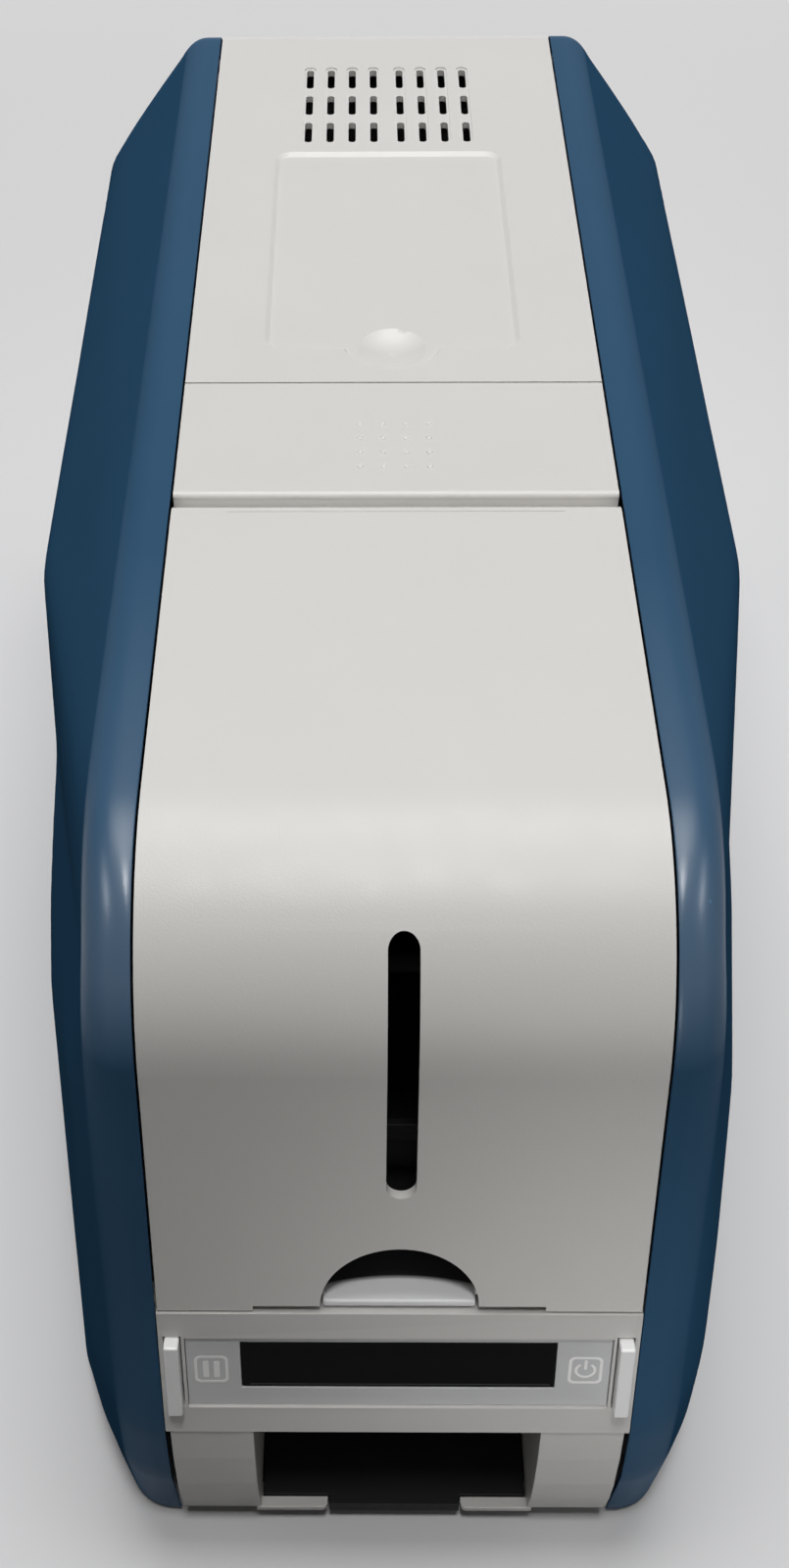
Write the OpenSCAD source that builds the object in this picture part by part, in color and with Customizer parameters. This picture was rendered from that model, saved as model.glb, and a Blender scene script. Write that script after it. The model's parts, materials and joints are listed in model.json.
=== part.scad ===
// Desktop card printer with hinged covers.
// Frame: +X right, +Y rear, +Z up, millimetres. The origin is on the ground under the middle of the body.
// Two oblique frames are used: p runs rearwards along the top plane and q below it; r runs down the
// front plane and d behind it. Both start at the sharp corner where the two planes would meet.

/* [Body] */
// Length over everything, from the bar buttons to the foot of the rear
body_l = 385.6; // [376:0.1:406]
// Width over the two side shells
body_w = 171.5; // [166:0.5:186]
// Height at the rear top edge
body_h = 206; // [202:1:218]
// Height of the casing above the ground
foot_h = 2; // [1.6:0.2:4]
// Rise of the top towards the rear, in degrees
top_slope = 5.3; // [4.5:0.1:6]
// Lean of the front, bottom forward, in degrees
front_lean = 11.8; // [11:0.1:12.5]
// Lean of the rear, bottom rearward, measured as a setback at the top
rear_set = 23.2; // [20:0.1:26]
// Radius of the nose between front and top
nose_r = 44; // [40:1:48]

/* [Centre strip] */
// Width of the pale centre strip
strip_w = 96; // [95:0.5:98]
// Gap from the strip to each side shell
strip_gap = 0.6; // [0.5:0.1:1]
// Wall of the covers
cover_t = 2.2; // [2:0.1:2.4]
// Depth of the covers' side skirts
skirt_h = 10; // [8:0.5:11]
// Distance from the corner to the hopper cover's rear seam
seam_cover = 116.4; // [115:0.1:118]
// Length of the latch strip between its seams
latch_l = 41.2; // [40:0.1:42]
// Width of the seams between the covers
seam_gap = 0.5; // [0.4:0.05:0.7]
// Length of the hopper cover down the front
cover_drop = 92.75; // [92:0.05:94]
// Radius of the rear top edge, about the lid's hinge
lid_r = 8; // [7.5:0.1:8.5]
// Radius of the hopper cover's rear knuckle
knuckle_r = 5; // [4.8:0.1:5.4]

/* [Front details] */
// Width of the card level slot
slot_w = 5.8; // [5:0.1:7]
// How far down the front the level slot ends
slot_end = 62.5; // [58:0.5:66]
// Radius of the thumb notch
notch_r = 15.7; // [14:0.1:17]
// Height of the relief in the cover's bottom edge
relief_h = 1.3; // [1:0.1:1.6]
// Half the width of that relief
relief_x = 29; // [26:0.5:32]
// Height of the control panel
panel_h = 35; // [34:0.5:36]
// Width of the display overlay
overlay_w = 86; // [84:0.1:86.4]
// Height of the display overlay
overlay_h = 20.3; // [19.8:0.1:21]
// Width of the display window
lcd_w = 63.8; // [60:0.1:66]
// Height of the display window
lcd_h = 13.2; // [12:0.1:14]
// Width of a bar button
button_w = 3; // [2.6:0.1:3.2]
// Length of a bar button
button_l = 20; // [18:0.1:22]
// How far a bar button stands out
button_proud = 3; // [2:0.1:4]
// Travel of a bar button
button_travel = 1; // [0.6:0.1:1.2]
// Inner edge of the output arms
arm_x = 30; // [29:0.2:31]

/* [Lid details] */
// Width of the card-shaped recess
recess_w = 59.5; // [56:0.5:62]
// Length of the card-shaped recess
recess_l = 90.6; // [88:0.2:92]
// Depth of the card-shaped recess
recess_d = 0.9; // [0.6:0.1:1.2]
// Length of a vent slot
vent_l = 10.6; // [7:0.2:12]
// Width of a vent slot
vent_w = 2; // [1.5:0.1:2.6]
// Spacing of the vent rows
vent_pitch = 15.2; // [14:0.1:16]
// Spacing of the grip dots
dot_pitch = 5.1; // [4.5:0.1:5.5]
// Diameter of a grip dot
dot_d = 1.6; // [1.2:0.1:2]

/* [Side shells] */
// Wall of the side shells
wall = 2.5; // [2:0.1:2.8]
// Width of the flat band beside the strip
band_w = 7.7; // [7:0.1:9]
// How far the ridge lies below the rear top edge
ridge_drop = 40; // [36:1:44]

/* [Card path] */
// Width of a card
card_w = 54; // [53.9:0.1:54.2]
// Length of a card
card_l = 85.6; // [85.4:0.1:86]
// Thickness of a card, with the gap that rollers need
nip = 0.8; // [0.7:0.05:1]
// Depth of the card path below the corner where top and front would meet
path_drop = 88; // [87:0.5:89]
// Radius of the lower transport rollers and the platen
roller_r = 9; // [8.6:0.1:9.2]
// Radius of the pickup roller
pickup_r = 12; // [11:0.1:12.5]
// Radius of the roller shafts
shaft_r = 3; // [2.5:0.1:3.4]
// Radial clearance of every running fit
run_fit = 0.05; // [0.03:0.01:0.08]
// Thickness of the steel side frames
frame_t = 1.2; // [1:0.1:1.6]
// Radius of the timing belt pulleys
pulley_r = 8; // [7.5:0.1:8.5]
// Width of the timing belt
belt_w = 5; // [4:0.1:5.4]

/* [Hidden] */
$fn = 64;

// Overall planes
front_lip = 0.6;                       // the panel's bottom edge lies this far behind the front
bezel_proud = 0.4;                     // the panel stands this far out of the front plane
button_drop = 16.8;                    // centre of a bar button, below the panel's top
button_out = (button_proud + bezel_proud) * cos(front_lean) - front_lip
             - (panel_h - button_drop - button_l / 2) * sin(front_lean);
front_y = -body_l / 2 + button_out;    // foremost line of the casing, behind the buttons' tips
half_strip = strip_w / 2;
half_w = body_w / 2;
panel_top = cover_drop + seam_gap;
panel_end = panel_top + panel_h;
knee_z = foot_h + 28;                  // the front is upright from here to the panel
toe_set = 6;                           // the toe lies this far behind the front
rear_lean = atan(rear_set / (body_h - foot_h));
rear_len = (body_h - foot_h) / cos(rear_lean);
corner_y = front_y + front_lip + panel_end * sin(front_lean);
top_l = (body_l / 2 - rear_set - corner_y) / cos(top_slope);
corner_z = body_h - top_l * sin(top_slope);
path_z = corner_z - path_drop;         // height of the card path
mid_y = front_y + 191.75;              // the card path is laid out from here, a fixed way behind the front
rear_y = body_l / 2;

function top_pt(p, q) = [corner_y + p * cos(top_slope) + q * sin(top_slope),
                         corner_z + p * sin(top_slope) - q * cos(top_slope)];
function front_pt(r, d) = [corner_y - r * sin(front_lean) + d * cos(front_lean),
                           corner_z - r * cos(front_lean) - d * sin(front_lean)];
function rear_pt(s, d) = [body_l / 2 - s * sin(rear_lean) - d * cos(rear_lean),
                          foot_h + s * cos(rear_lean) - d * sin(rear_lean)];
function rear_at(z, d) = rear_pt((z - foot_h + d * sin(rear_lean)) / cos(rear_lean), d);

// Tangent lengths and centres of the two rounded corners
nose_turn = 90 - top_slope - front_lean;
nose_t = nose_r * tan(nose_turn / 2);
nose_c = top_pt(nose_t, nose_r);
lid_t = lid_r * tan((90 + top_slope - rear_lean) / 2);
lid_pivot = top_pt(top_l - lid_t, lid_r);

// Inner frame planes
frame_x = half_strip + 2;
frame_inset = wall + 0.7;
shell_x = half_strip + strip_gap;
band_x = shell_x + band_w;

// Card path stations, front to rear
pinch_r = 7;
pickup_at = [mid_y - 92, path_z - 0.8 - pickup_r];
feed_at = [mid_y - 50, path_z - roller_r];
clean_at = [mid_y - 50, path_z + nip + pinch_r];
platen_at = [mid_y + 32, path_z - roller_r];
exit_at = [mid_y + 112, path_z - roller_r];
pinch_at = [mid_y + 112, path_z + nip + pinch_r];
flap_at = [mid_y - 66, path_z - 8];
roller_x = card_w / 2 + 1;

// Gear trains: teeth and module of each pair
fine_m = (roller_r + pinch_r + nip) * 2 / 48;   // the feed pairs share one module, 27 teeth to 21
low_teeth = 27;
high_teeth = 21;
pickup_teeth = 40;
pickup_pinion_teeth = 12;
pickup_m = 0.7;
drive_teeth = 50;
drive_pinion_teeth = 14;
ribbon_teeth = 50;
ribbon_pinion_teeth = 12;
drive_m = 0.8;
lash = 0.3;
feed_motor_at = platen_at - [0, (drive_teeth + drive_pinion_teeth) * drive_m / 2];
pickup_motor_at = pickup_at - [0, (pickup_teeth + pickup_pinion_teeth) * pickup_m / 2];

// Ribbon stations in the lid
takeup_at = [mid_y - 8, path_z + 48];
supply_at = [mid_y + 88, path_z + 53];
ribbon_angle = 60;
ribbon_motor_at = takeup_at + (ribbon_teeth + ribbon_pinion_teeth) * drive_m / 2
                  * [cos(ribbon_angle), sin(ribbon_angle)];
lid_plate_x = 40;
lid_plate_t = 3;
core_r = 9;
spool_flange_r = 16;

// Latch and cover hinge, from the top plane
cover_pivot = top_pt(seam_cover - 0.4 - knuckle_r, knuckle_r);
latch_pivot = top_pt(seam_cover + latch_l - 5.6, 6);
hook_pivot = top_pt(seam_cover + 12.6, 8.5);
bridge_q = 15;
pin_r = 1.5;
cover_rod_r = 1.25;
lid_rod_r = 2;
lid_start = seam_cover + latch_l + seam_gap / 2;
latch_start = seam_cover + seam_gap;
latch_end = seam_cover + latch_l - seam_gap / 2;

// Level and belt planes outside the left frame, gear plane outside the right frame
pulley_x = frame_x + frame_t + 3;
gear_w = 4;
drive_gear_x = pulley_x + belt_w + 4;
side_gear_x = frame_x + frame_t + 2.8;

// ---------- shared shapes ----------

// Extrudes a (Y, Z) profile along X
module slab_x(x0, x1) {
  translate([x0, 0, 0]) rotate([90, 0, 90]) linear_extrude(x1 - x0) children();
}

// A round bar along X through the point at (Y, Z)
module bar_x(at, x0, x1, r) {
  translate([x0, at[0], at[1]]) rotate([0, 90, 0]) cylinder(h = x1 - x0, r = r);
}

module both_sides() {
  children();
  mirror([1, 0, 0]) children();
}

// Local frames: x across, y along the plane, z outwards
module on_top(p = 0, q = 0) {
  translate([0, top_pt(p, q)[0], top_pt(p, q)[1]]) rotate([top_slope, 0, 0]) children();
}
module on_front(r = 0) {
  translate([0, front_pt(r, 0)[0], front_pt(r, 0)[1]]) rotate([90 - front_lean, 0, 0]) children();
}
// On the rear plane, y runs up and z runs inwards
module on_rear(s = 0) {
  translate([0, rear_pt(s, 0)[0], rear_pt(s, 0)[1]]) rotate([90 + rear_lean, 0, 0]) children();
}

module rounded_rect(w, l, r) {
  square([w - 2 * r, l], center = true);
  square([w, l - 2 * r], center = true);
  for (x = [-1, 1], y = [-1, 1]) translate([x * (w / 2 - r), y * (l / 2 - r)]) circle(r, $fn = 32);
}

// The body's side outline between x0 and x1, inset by d and cut level at zb
module outline_slab(x0, x1, d = 0, zb = foot_h) {
  slab_x(x0, x1)
    polygon([top_pt(nose_t, d), top_pt(top_l - lid_t, d), rear_pt(rear_len - lid_t, d), rear_at(zb, d),
             [front_y + toe_set + d, zb], [front_y + d, knee_z], front_pt(panel_end, d),
             front_pt(nose_t, d)]);
  bar_x(nose_c, x0, x1, nose_r - d);
  bar_x(lid_pivot, x0, x1, lid_r - d);
}

// Involute gear outline, one tooth centred on the x axis
function inv(a) = tan(a) * 180 / PI - a;
function tooth_half(z, m, r) =
  let (base = m * z / 2 * cos(20), a = r > base ? acos(base / r) : 0)
  90 / z - lash / (m * z) * 90 / PI + inv(20) - inv(a);
function polar(r, a) = [r * cos(a), r * sin(a)];
function gear_points(z, m) =
  let (pitch = m * z / 2, root = pitch - 1.15 * m, tip = pitch + 0.9 * m,
       foot = max(root + 0.05 * m, pitch * cos(20)), steps = 3)
  [for (i = [0 : z - 1], side = [-1, 1], k = [0 : steps])
     let (up = side < 0 ? k : steps - k, r = up == 0 ? root : foot + (tip - foot) * (up - 1) / (steps - 1))
     polar(r, 360 * i / z + side * tooth_half(z, m, max(r, foot)))];

module gear_x(at, x0, w, z, m, turn) {
  slab_x(x0, x0 + w) translate(at) rotate(turn) polygon(gear_points(z, m));
}

// The turn that sets a gear's gap facing a tooth at angle a on its mate
function mate_turn(a, z) = a + 180 + 180 / z;

// A coil spring standing on z = 0, swept along a helix
module coil_spring(r, wire, h, turns) {
  sides = 6;
  rings = turns * 10;
  points = [for (i = [0 : rings], k = [0 : sides - 1])
    let (a = 360 * turns * i / rings, w = 360 * k / sides)
    [(r + wire * cos(w)) * cos(a), (r + wire * cos(w)) * sin(a), wire + (h - 2 * wire) * i / rings + wire * sin(w)]];
  faces = concat(
    [[for (k = [0 : sides - 1]) k]],
    [for (i = [0 : rings - 1], k = [0 : sides - 1])
      [i * sides + k, (i + 1) * sides + k, (i + 1) * sides + (k + 1) % sides, i * sides + (k + 1) % sides]],
    [[for (k = [sides - 1 : -1 : 0]) rings * sides + k]]);
  polyhedron(points, faces, convexity = 8);
}

// ---------- casing ----------

// Side views of the flare at three distances out, as steps behind the front and up from the casing's
// bottom. They are drawn for a ridge at drawn_h and stretched to where it lies.
drawn_h = 164;
ridge_z = body_h - ridge_drop;
function flare_z(h) = foot_h + h * (ridge_z - foot_h) / drawn_h;
function flare_line(list) = [for (v = list) [front_y + v[0], flare_z(v[1])]];
shoulder = [[177, 142], [174, 123], [170, 108], [162, 96]];
skirt_edge = [[167, 98], [143, 84], [129, 74], [115, 58], [108, 28], [99, 0]];
mid_edge = [[69, 78], [61, 58], [53, 36], [43.4, 0]];
fore_edge = [[35, 121], [28, 103], [21, 84], [14, 57], [14, 28], [20.5, 0]];
rear_soft = 2;

module flare_upper_2d() {
  low_z = flare_line(shoulder)[3][1];
  polygon(concat([[rear_at(ridge_z, rear_soft)[0], ridge_z]], flare_line(shoulder),
                 [[rear_at(low_z, rear_soft)[0], low_z]]));
}
// Cut level at zb
module flare_lower_2d(edge, zb) {
  line = flare_line(edge);
  top_z = line[0][1];
  polygon(concat([[rear_at(top_z, rear_soft)[0], top_z]], line,
                 [[line[len(line) - 1][0], zb], [rear_at(zb, rear_soft)[0], zb]]));
}

// One side's outer form, inset by d: two flares that share the flat band beside the strip
module shell_form(d, x_in, zb) {
  x_out = half_w - d;
  hull() {
    outline_slab(x_in, band_x - d / 3, d, zb);
    slab_x(x_out - 1.4, x_out - 0.6) offset(delta = -d) flare_upper_2d();
    slab_x(x_out - 0.6, x_out) offset(delta = -d - 1) flare_upper_2d();
  }
  hull() {
    outline_slab(x_in, band_x - d / 3, d, zb);
    slab_x(half_w - 21.75 - d, half_w - 21.25 - d) offset(delta = -d) flare_lower_2d(fore_edge, zb - d);
    slab_x(half_w - 11.75 - d, half_w - 11.25 - d) offset(delta = -d) flare_lower_2d(mid_edge, zb - d);
    slab_x(x_out - 1.4, x_out - 0.6) offset(delta = -d) flare_lower_2d(skirt_edge, zb - d);
    slab_x(x_out - 0.6, x_out) offset(delta = -d - 1) flare_lower_2d(skirt_edge, zb - d - 1);
  }
}

shell_bosses = [[rear_y - 43, foot_h + 38], [rear_y - 43, path_z + 33], [mid_y + 10, path_z + 43], [mid_y, foot_h + 22]];

module side_shell() {
  difference() {
    shell_form(0, shell_x, foot_h);
    shell_form(wall, shell_x - 1, foot_h - 2);
  }
  // Bosses that meet the side frame, each with a gusset on the outer wall
  for (at = shell_bosses) hull() {
    bar_x(at, frame_x + frame_t, half_w - wall / 2, 4);
    bar_x(at - [0, 10], half_w - wall - 2, half_w - wall / 2, 1.5);
  }
}
module shell_right() { color("#33536b") side_shell(); }
module shell_left() { color("#33536b") mirror([1, 0, 0]) side_shell(); }

pan_t = 2.5;
module pan_2d(inset) {
  front = [[12, band_x - 6], [24, half_w - 26], [43.4, half_w - 16], [73, half_w - 9.6], [101, half_w - 4.4]];
  right = [for (v = front) [v[1] - inset, front_y + v[0] + inset]];
  rear = [half_w - 4.4 - inset, rear_at(foot_h, 6)[0] - inset];
  polygon(concat(right, [rear, [-rear[0], rear[1]]],
                 [for (i = [len(right) - 1 : -1 : 0]) [-right[i][0], right[i][1]]]));
}
module base_pan() {
  color("#2c2e31") difference() {
    translate([0, 0, foot_h]) linear_extrude(pan_t) pan_2d(0);
    for (x = [-20 : 10 : 20], y = [60 : 24 : 108])
      translate([x - 1.5, mid_y + y, foot_h - 1]) cube([3, 16, pan_t + 2]);
  }
}

foot_r = 7;
foot_bevel = 0.8;
module rubber_feet() {
  color("#1c1c1d") both_sides() {
    for (at = [[38, front_y + 34], [half_w - 20, rear_y - 30]])
      translate([at[0], at[1], 0]) {
        cylinder(h = foot_bevel, r1 = foot_r - foot_bevel, r2 = foot_r);
        translate([0, 0, foot_bevel]) cylinder(h = foot_h - foot_bevel, r = foot_r);
      }
  }
}

// Steel side frames: one outline, bored for every shaft, with lightening windows
low_window_z = foot_h + 38;
high_window_z = path_z + 55;
frame_windows = [[mid_y - 130, low_window_z, 44, 30], [mid_y - 30, low_window_z, 36, 26],
                 [mid_y + 88, low_window_z - 4, 50, 26], [mid_y - 20, high_window_z, 40, 24],
                 [mid_y + 60, high_window_z + 3, 60, 26]];
bush_r = 5;
bush_axes = [pickup_at, feed_at, clean_at, platen_at, exit_at, pinch_at];
module frame_plate() {
  difference() {
    outline_slab(frame_x, frame_x + frame_t, frame_inset, foot_h + pan_t);
    for (at = bush_axes) bar_x(at, frame_x - 1, frame_x + frame_t + 1, bush_r + 0.02);
    bar_x(lid_pivot, frame_x - 1, frame_x + frame_t + 1, lid_rod_r + 0.02);
    bar_x(flap_at, frame_x - 1, frame_x + frame_t + 1, 2 + run_fit);
    for (w = frame_windows)
      slab_x(frame_x - 1, frame_x + frame_t + 1) translate([w[0], w[1]]) rounded_rect(w[2], w[3], 4);
  }
}
module side_frame_right() { color("silver") frame_plate(); }
module side_frame_left() {
  color("silver") difference() {
    mirror([1, 0, 0]) frame_plate();
    bar_x(feed_motor_at, -frame_x - frame_t - 1, -frame_x + 1, 4);
  }
}

module frame_ties() {
  color("silver") for (at = [[mid_y - 20, foot_h + 18], [mid_y + 100, foot_h + 18],
                             [rear_y - 27, foot_h + 58], [rear_y - 51, path_z + 33]])
    bar_x(at, -frame_x, frame_x, 3);
}

// Rear panel between the shells, coved round the lid's knuckle
panel_t = 2.4;
panel_set = 0.6;
port_s = 30;
power_size = [15, 11, 16];
usb_size = [13, 12, 16];
network_size = [17, 15, 20];
power_socket = [11, 7, 12];
usb_socket = [8.6, 7.8, 12];
network_socket = [12, 9, 15];
power_x = -30;
usb_x = 0;
network_x = 28;
fan_s = 130;
fan_w = 40;
module rear_panel() {
  color("#d8d7d2") difference() {
    union() {
      on_rear() translate([-half_strip, 4, panel_set]) cube([strip_w, rear_len - lid_t - 4, panel_t]);
      both_sides() for (s = [20, 150])
        on_rear(s) translate([half_strip - 4, 0, frame_inset + 0.1]) cube([frame_x - half_strip + 4, 10, 8]);
      both_sides() on_rear() translate([half_strip - 4, 4, panel_set]) cube([2, rear_len - lid_t - 10, 11]);
    }
    bar_x(lid_pivot, -half_strip - 1, half_strip + 1, lid_r + 0.4);
    on_rear(port_s) {
      translate([power_x, 0, 0]) cube([power_socket[0] + 0.6, power_socket[1] + 0.6, 20], center = true);
      translate([usb_x, 0, 0]) cube([usb_socket[0] + 0.6, usb_socket[1] + 0.6, 20], center = true);
      translate([network_x, 0, 0]) cube([network_socket[0] + 0.6, network_socket[1] + 0.6, 20], center = true);
    }
    for (i = [-3 : 3])
      on_rear(fan_s) translate([i * 5 - 1.3, -15, panel_set - 1]) cube([2.6, 30, panel_t + 2]);
  }
}

// A boxed socket behind the rear panel, open to the rear
module socket_box(x, size, socket) {
  on_rear(port_s) translate([x, 0, panel_set + panel_t]) difference() {
    translate([-size[0] / 2, -size[1] / 2, 0]) cube(size);
    translate([-socket[0] / 2, -socket[1] / 2, -1]) cube([socket[0], socket[1], socket[2] + 1]);
  }
}
module power_inlet() { color("#202022") socket_box(power_x, power_size, power_socket); }
module usb_port() { color("silver") socket_box(usb_x, usb_size, usb_socket); }
module network_port() { color("silver") socket_box(network_x, network_size, network_socket); }

// ---------- front panel ----------

bezel_t = 3;
bezel_back = bezel_proud - bezel_t;
bezel_w = strip_w + 0.5;
overlay_mid = panel_top + 17.3;         // centre of the overlay, down the front
lcd_mid = panel_top + 15.6;             // centre of the display window
overlay_t = 1.2;
overlay_set = 0.8;
pocket_z = bezel_proud - overlay_set - overlay_t;
button_fit = 0.3;
rib_w = 0.6;                            // wall between the overlay's pocket and a button's slot
pocket_fit = 0.1;
button_x = overlay_w / 2 + pocket_fit + rib_w + button_fit + button_w / 2;
button_mid = panel_top + button_drop;
board_z = bezel_back - 4.4;

module control_bezel() {
  color("#c9c9c6") difference() {
    union() {
      on_front(panel_end) translate([-bezel_w / 2, 0, bezel_back]) cube([bezel_w, panel_h, bezel_t]);
      for (r = [panel_top + 2, panel_end])
        on_front(r) translate([-bezel_w / 2, 0, -9]) cube([bezel_w, 2, 9]);
      both_sides() for (r = [panel_top + 4, panel_end])
        on_front(r) translate([bezel_w / 2 - 0.8, 0, -9]) cube([frame_x - bezel_w / 2 + 0.8, 3, 9 - frame_inset - 0.3]);
      both_sides() for (r = [panel_top + 5, panel_end - 4])
        on_front(r) translate([38, 0, board_z + 0.02]) cylinder(h = bezel_back - board_z + 1, r = 2);
    }
    on_front(overlay_mid) translate([0, 0, pocket_z]) linear_extrude(5)
      square([overlay_w + 2 * pocket_fit, overlay_h + 2 * pocket_fit], center = true);
    on_front(lcd_mid) translate([-lcd_w / 2 - 0.2, -lcd_h / 2 - 0.2, -5]) cube([lcd_w + 0.4, lcd_h + 0.4, 10]);
    both_sides() on_front(button_mid) translate([button_x, 0, 0])
      cube([button_w + 2 * button_fit, button_l + 2 * button_fit, 20], center = true);
  }
}

module display_overlay() {
  color("#a9acb0") difference() {
    on_front(overlay_mid) translate([0, 0, pocket_z]) linear_extrude(overlay_t)
      square([overlay_w, overlay_h], center = true);
    on_front(lcd_mid) translate([-lcd_w / 2 - 0.1, -lcd_h / 2 - 0.1, -5]) cube([lcd_w + 0.2, lcd_h + 0.2, 10]);
  }
}

module lcd_glass() {
  color("#0b0b0c") on_front(lcd_mid) translate([-lcd_w / 2, -lcd_h / 2, bezel_back])
    cube([lcd_w, lcd_h, bezel_proud - overlay_set - 0.2 - bezel_back]);
}

module control_board() {
  color("#2f6b3a") {
    on_front(overlay_mid) translate([-47, -15, board_z - 1.6]) cube([94, 30, 1.6]);
    on_front(lcd_mid) translate([-36, -9, board_z - 0.5]) cube([72, 18, bezel_back - board_z + 0.48]);
    both_sides() on_front(button_mid) translate([button_x - 2, -3, board_z - 0.5]) cube([4, 6, 1.2]);
  }
}

button_flange = 1;
button_back = bezel_back - 0.3 - 1.4;
module bar_button() {
  on_front(button_mid) translate([button_x, 0, button_back]) {
    translate([-button_w / 2, -button_l / 2, 0])
      cube([button_w, button_l, bezel_proud + button_proud - button_back]);
    translate([-button_w / 2 - button_flange, -button_l / 2 - button_flange, 0])
      cube([button_w + button_flange, button_l + 2 * button_flange, 1.4]);
  }
}
module power_button() { color("#e9e8e4") bar_button(); }
module pause_button() { color("#e9e8e4") mirror([1, 0, 0]) bar_button(); }

// Output hopper: two arms under the panel, joined by a floor inside, each with a small lip
arm_out = half_strip - 0.6;
arm_low = foot_h + 3.5;
arm_d = 30;                            // depth of an arm, front to rear
lip_x = 15;                             // inner end of a lip
lip_set = 3.6;                         // a lip starts this far behind the front
lip_d = 2.6;
lip_t = 1.5;
lip_r = 1.3;
function arm_pt(y, z) = [front_y + y, z];
function arm_top(d) = front_pt(panel_end + seam_gap, d);
module output_hopper() {
  color("#c2c0ba") {
    both_sides() {
      difference() {
        slab_x(arm_x, arm_out)
          polygon([arm_top(0.2), arm_pt(0, knee_z + 8), arm_pt(0.3, knee_z - 4), arm_pt(1.4, knee_z - 13),
                   arm_pt(4, arm_low + 1.6), arm_pt(5.2, arm_low), arm_pt(arm_d, arm_low),
                   arm_pt(arm_d, arm_low + 8), arm_top(22)]);
        slab_x(arm_x + 2, arm_out - 2)
          polygon([arm_top(2.4) - [0, 2], arm_pt(2.4, knee_z), arm_pt(6.6, arm_low + 2),
                   arm_pt(arm_d + 10, arm_low + 2), arm_pt(arm_d + 10, arm_low + 20), arm_top(22) - [0, 2]]);
      }
      translate([lip_x, front_y + lip_set, arm_low + 0.5]) linear_extrude(lip_t) {
        translate([lip_r, 0]) square([arm_x - lip_x - lip_r + 1, lip_d]);
        translate([0, lip_r]) square([2 * lip_r, lip_d - lip_r]);
        translate([lip_r, lip_r]) circle(lip_r, $fn = 32);
      }
      translate([arm_x + 1, front_y + arm_d - 4, arm_low]) cube([frame_x - arm_x - 1, 4, 8]);
    }
  }
}

// Black floor of the output bay, between the arms
tray_gap = 0.3;
tray_d = 54;
module output_tray() {
  tray_y = front_y + lip_set + lip_d + tray_gap;
  color("#161617") translate([0, 0, foot_h + pan_t]) {
    translate([-arm_x + tray_gap, tray_y, 0]) cube([2 * (arm_x - tray_gap), tray_d, 3]);
    // A tongue that fills the space between the lips
    translate([-lip_x + tray_gap, front_y + lip_set + 0.6, 0]) cube([2 * (lip_x - tray_gap), lip_d + 1, 3]);
  }
}

// ---------- fixed inside ----------

chute_from = [mid_y - 60, path_z - 21];
chute_to = [mid_y - 160, foot_h + 22];
chute_x = 29;
module output_chute() {
  slope = atan2(chute_from[1] - chute_to[1], chute_from[0] - chute_to[0]);
  length = norm(chute_from - chute_to);
  color("#3a3c40") {
    translate([-chute_x - 2, chute_to[0], chute_to[1]]) rotate([slope, 0, 0]) difference() {
      translate([0, 0, -2]) cube([2 * chute_x + 4, length, 12]);
      translate([2, -1, 0]) cube([2 * chute_x, length + 2, 20]);
    }
    for (part = [0.16, 0.85])
      bar_x(chute_to + part * (chute_from - chute_to) - [0, 4], -frame_x, frame_x, 3);
  }
}

floor_t = 2;
floor_z = path_z - 1;
hopper_front = mid_y - 158;
hopper_rear = hopper_front + 2 + card_l + 1.2;
hopper_x = card_w / 2 + 0.8;
module hopper_floor() {
  face_y = front_pt((corner_z - floor_z) / cos(front_lean), 0)[0];
  lip_y = face_y + cover_t + 1.2;
  color("#d2d1cc") difference() {
    union() {
      translate([-40, lip_y, floor_z - floor_t]) cube([80, hopper_rear - lip_y, floor_t]);
      translate([-frame_x, hopper_front + 8, floor_z - floor_t]) cube([2 * frame_x, 66, floor_t]);
      // A tongue that shows in the cover's thumb notch
      translate([-notch_r + 0.6, face_y + 0.7, floor_z - floor_t]) cube([2 * (notch_r - 0.6), 6, floor_t]);
    }
    translate([-14, pickup_at[0] - 9, floor_z - 5]) cube([28, 18, 10]);
  }
}
hopper_top = path_z + 63;
module input_hopper() {
  color("#1d1d1f") difference() {
    translate([-hopper_x - 2, hopper_front, floor_z])
      cube([2 * hopper_x + 4, hopper_rear - hopper_front, hopper_top - floor_z]);
    translate([-hopper_x, hopper_front + 2, floor_z - 1])
      cube([2 * hopper_x, hopper_rear - hopper_front - 4, 100]);
    translate([-hopper_x, hopper_rear - 5, floor_z - 1]) cube([2 * hopper_x, 10, 3]);
    translate([-15, hopper_front - 1, floor_z - 1]) cube([30, 4, 20]);
    translate([-slot_w, hopper_front - 1, floor_z + 24]) cube([2 * slot_w, 4, 100]);
  }
}
module card_gate() {
  color("#8a8d90") translate([-14, hopper_rear, path_z]) cube([28, 1.5, 24]);
}

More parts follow.
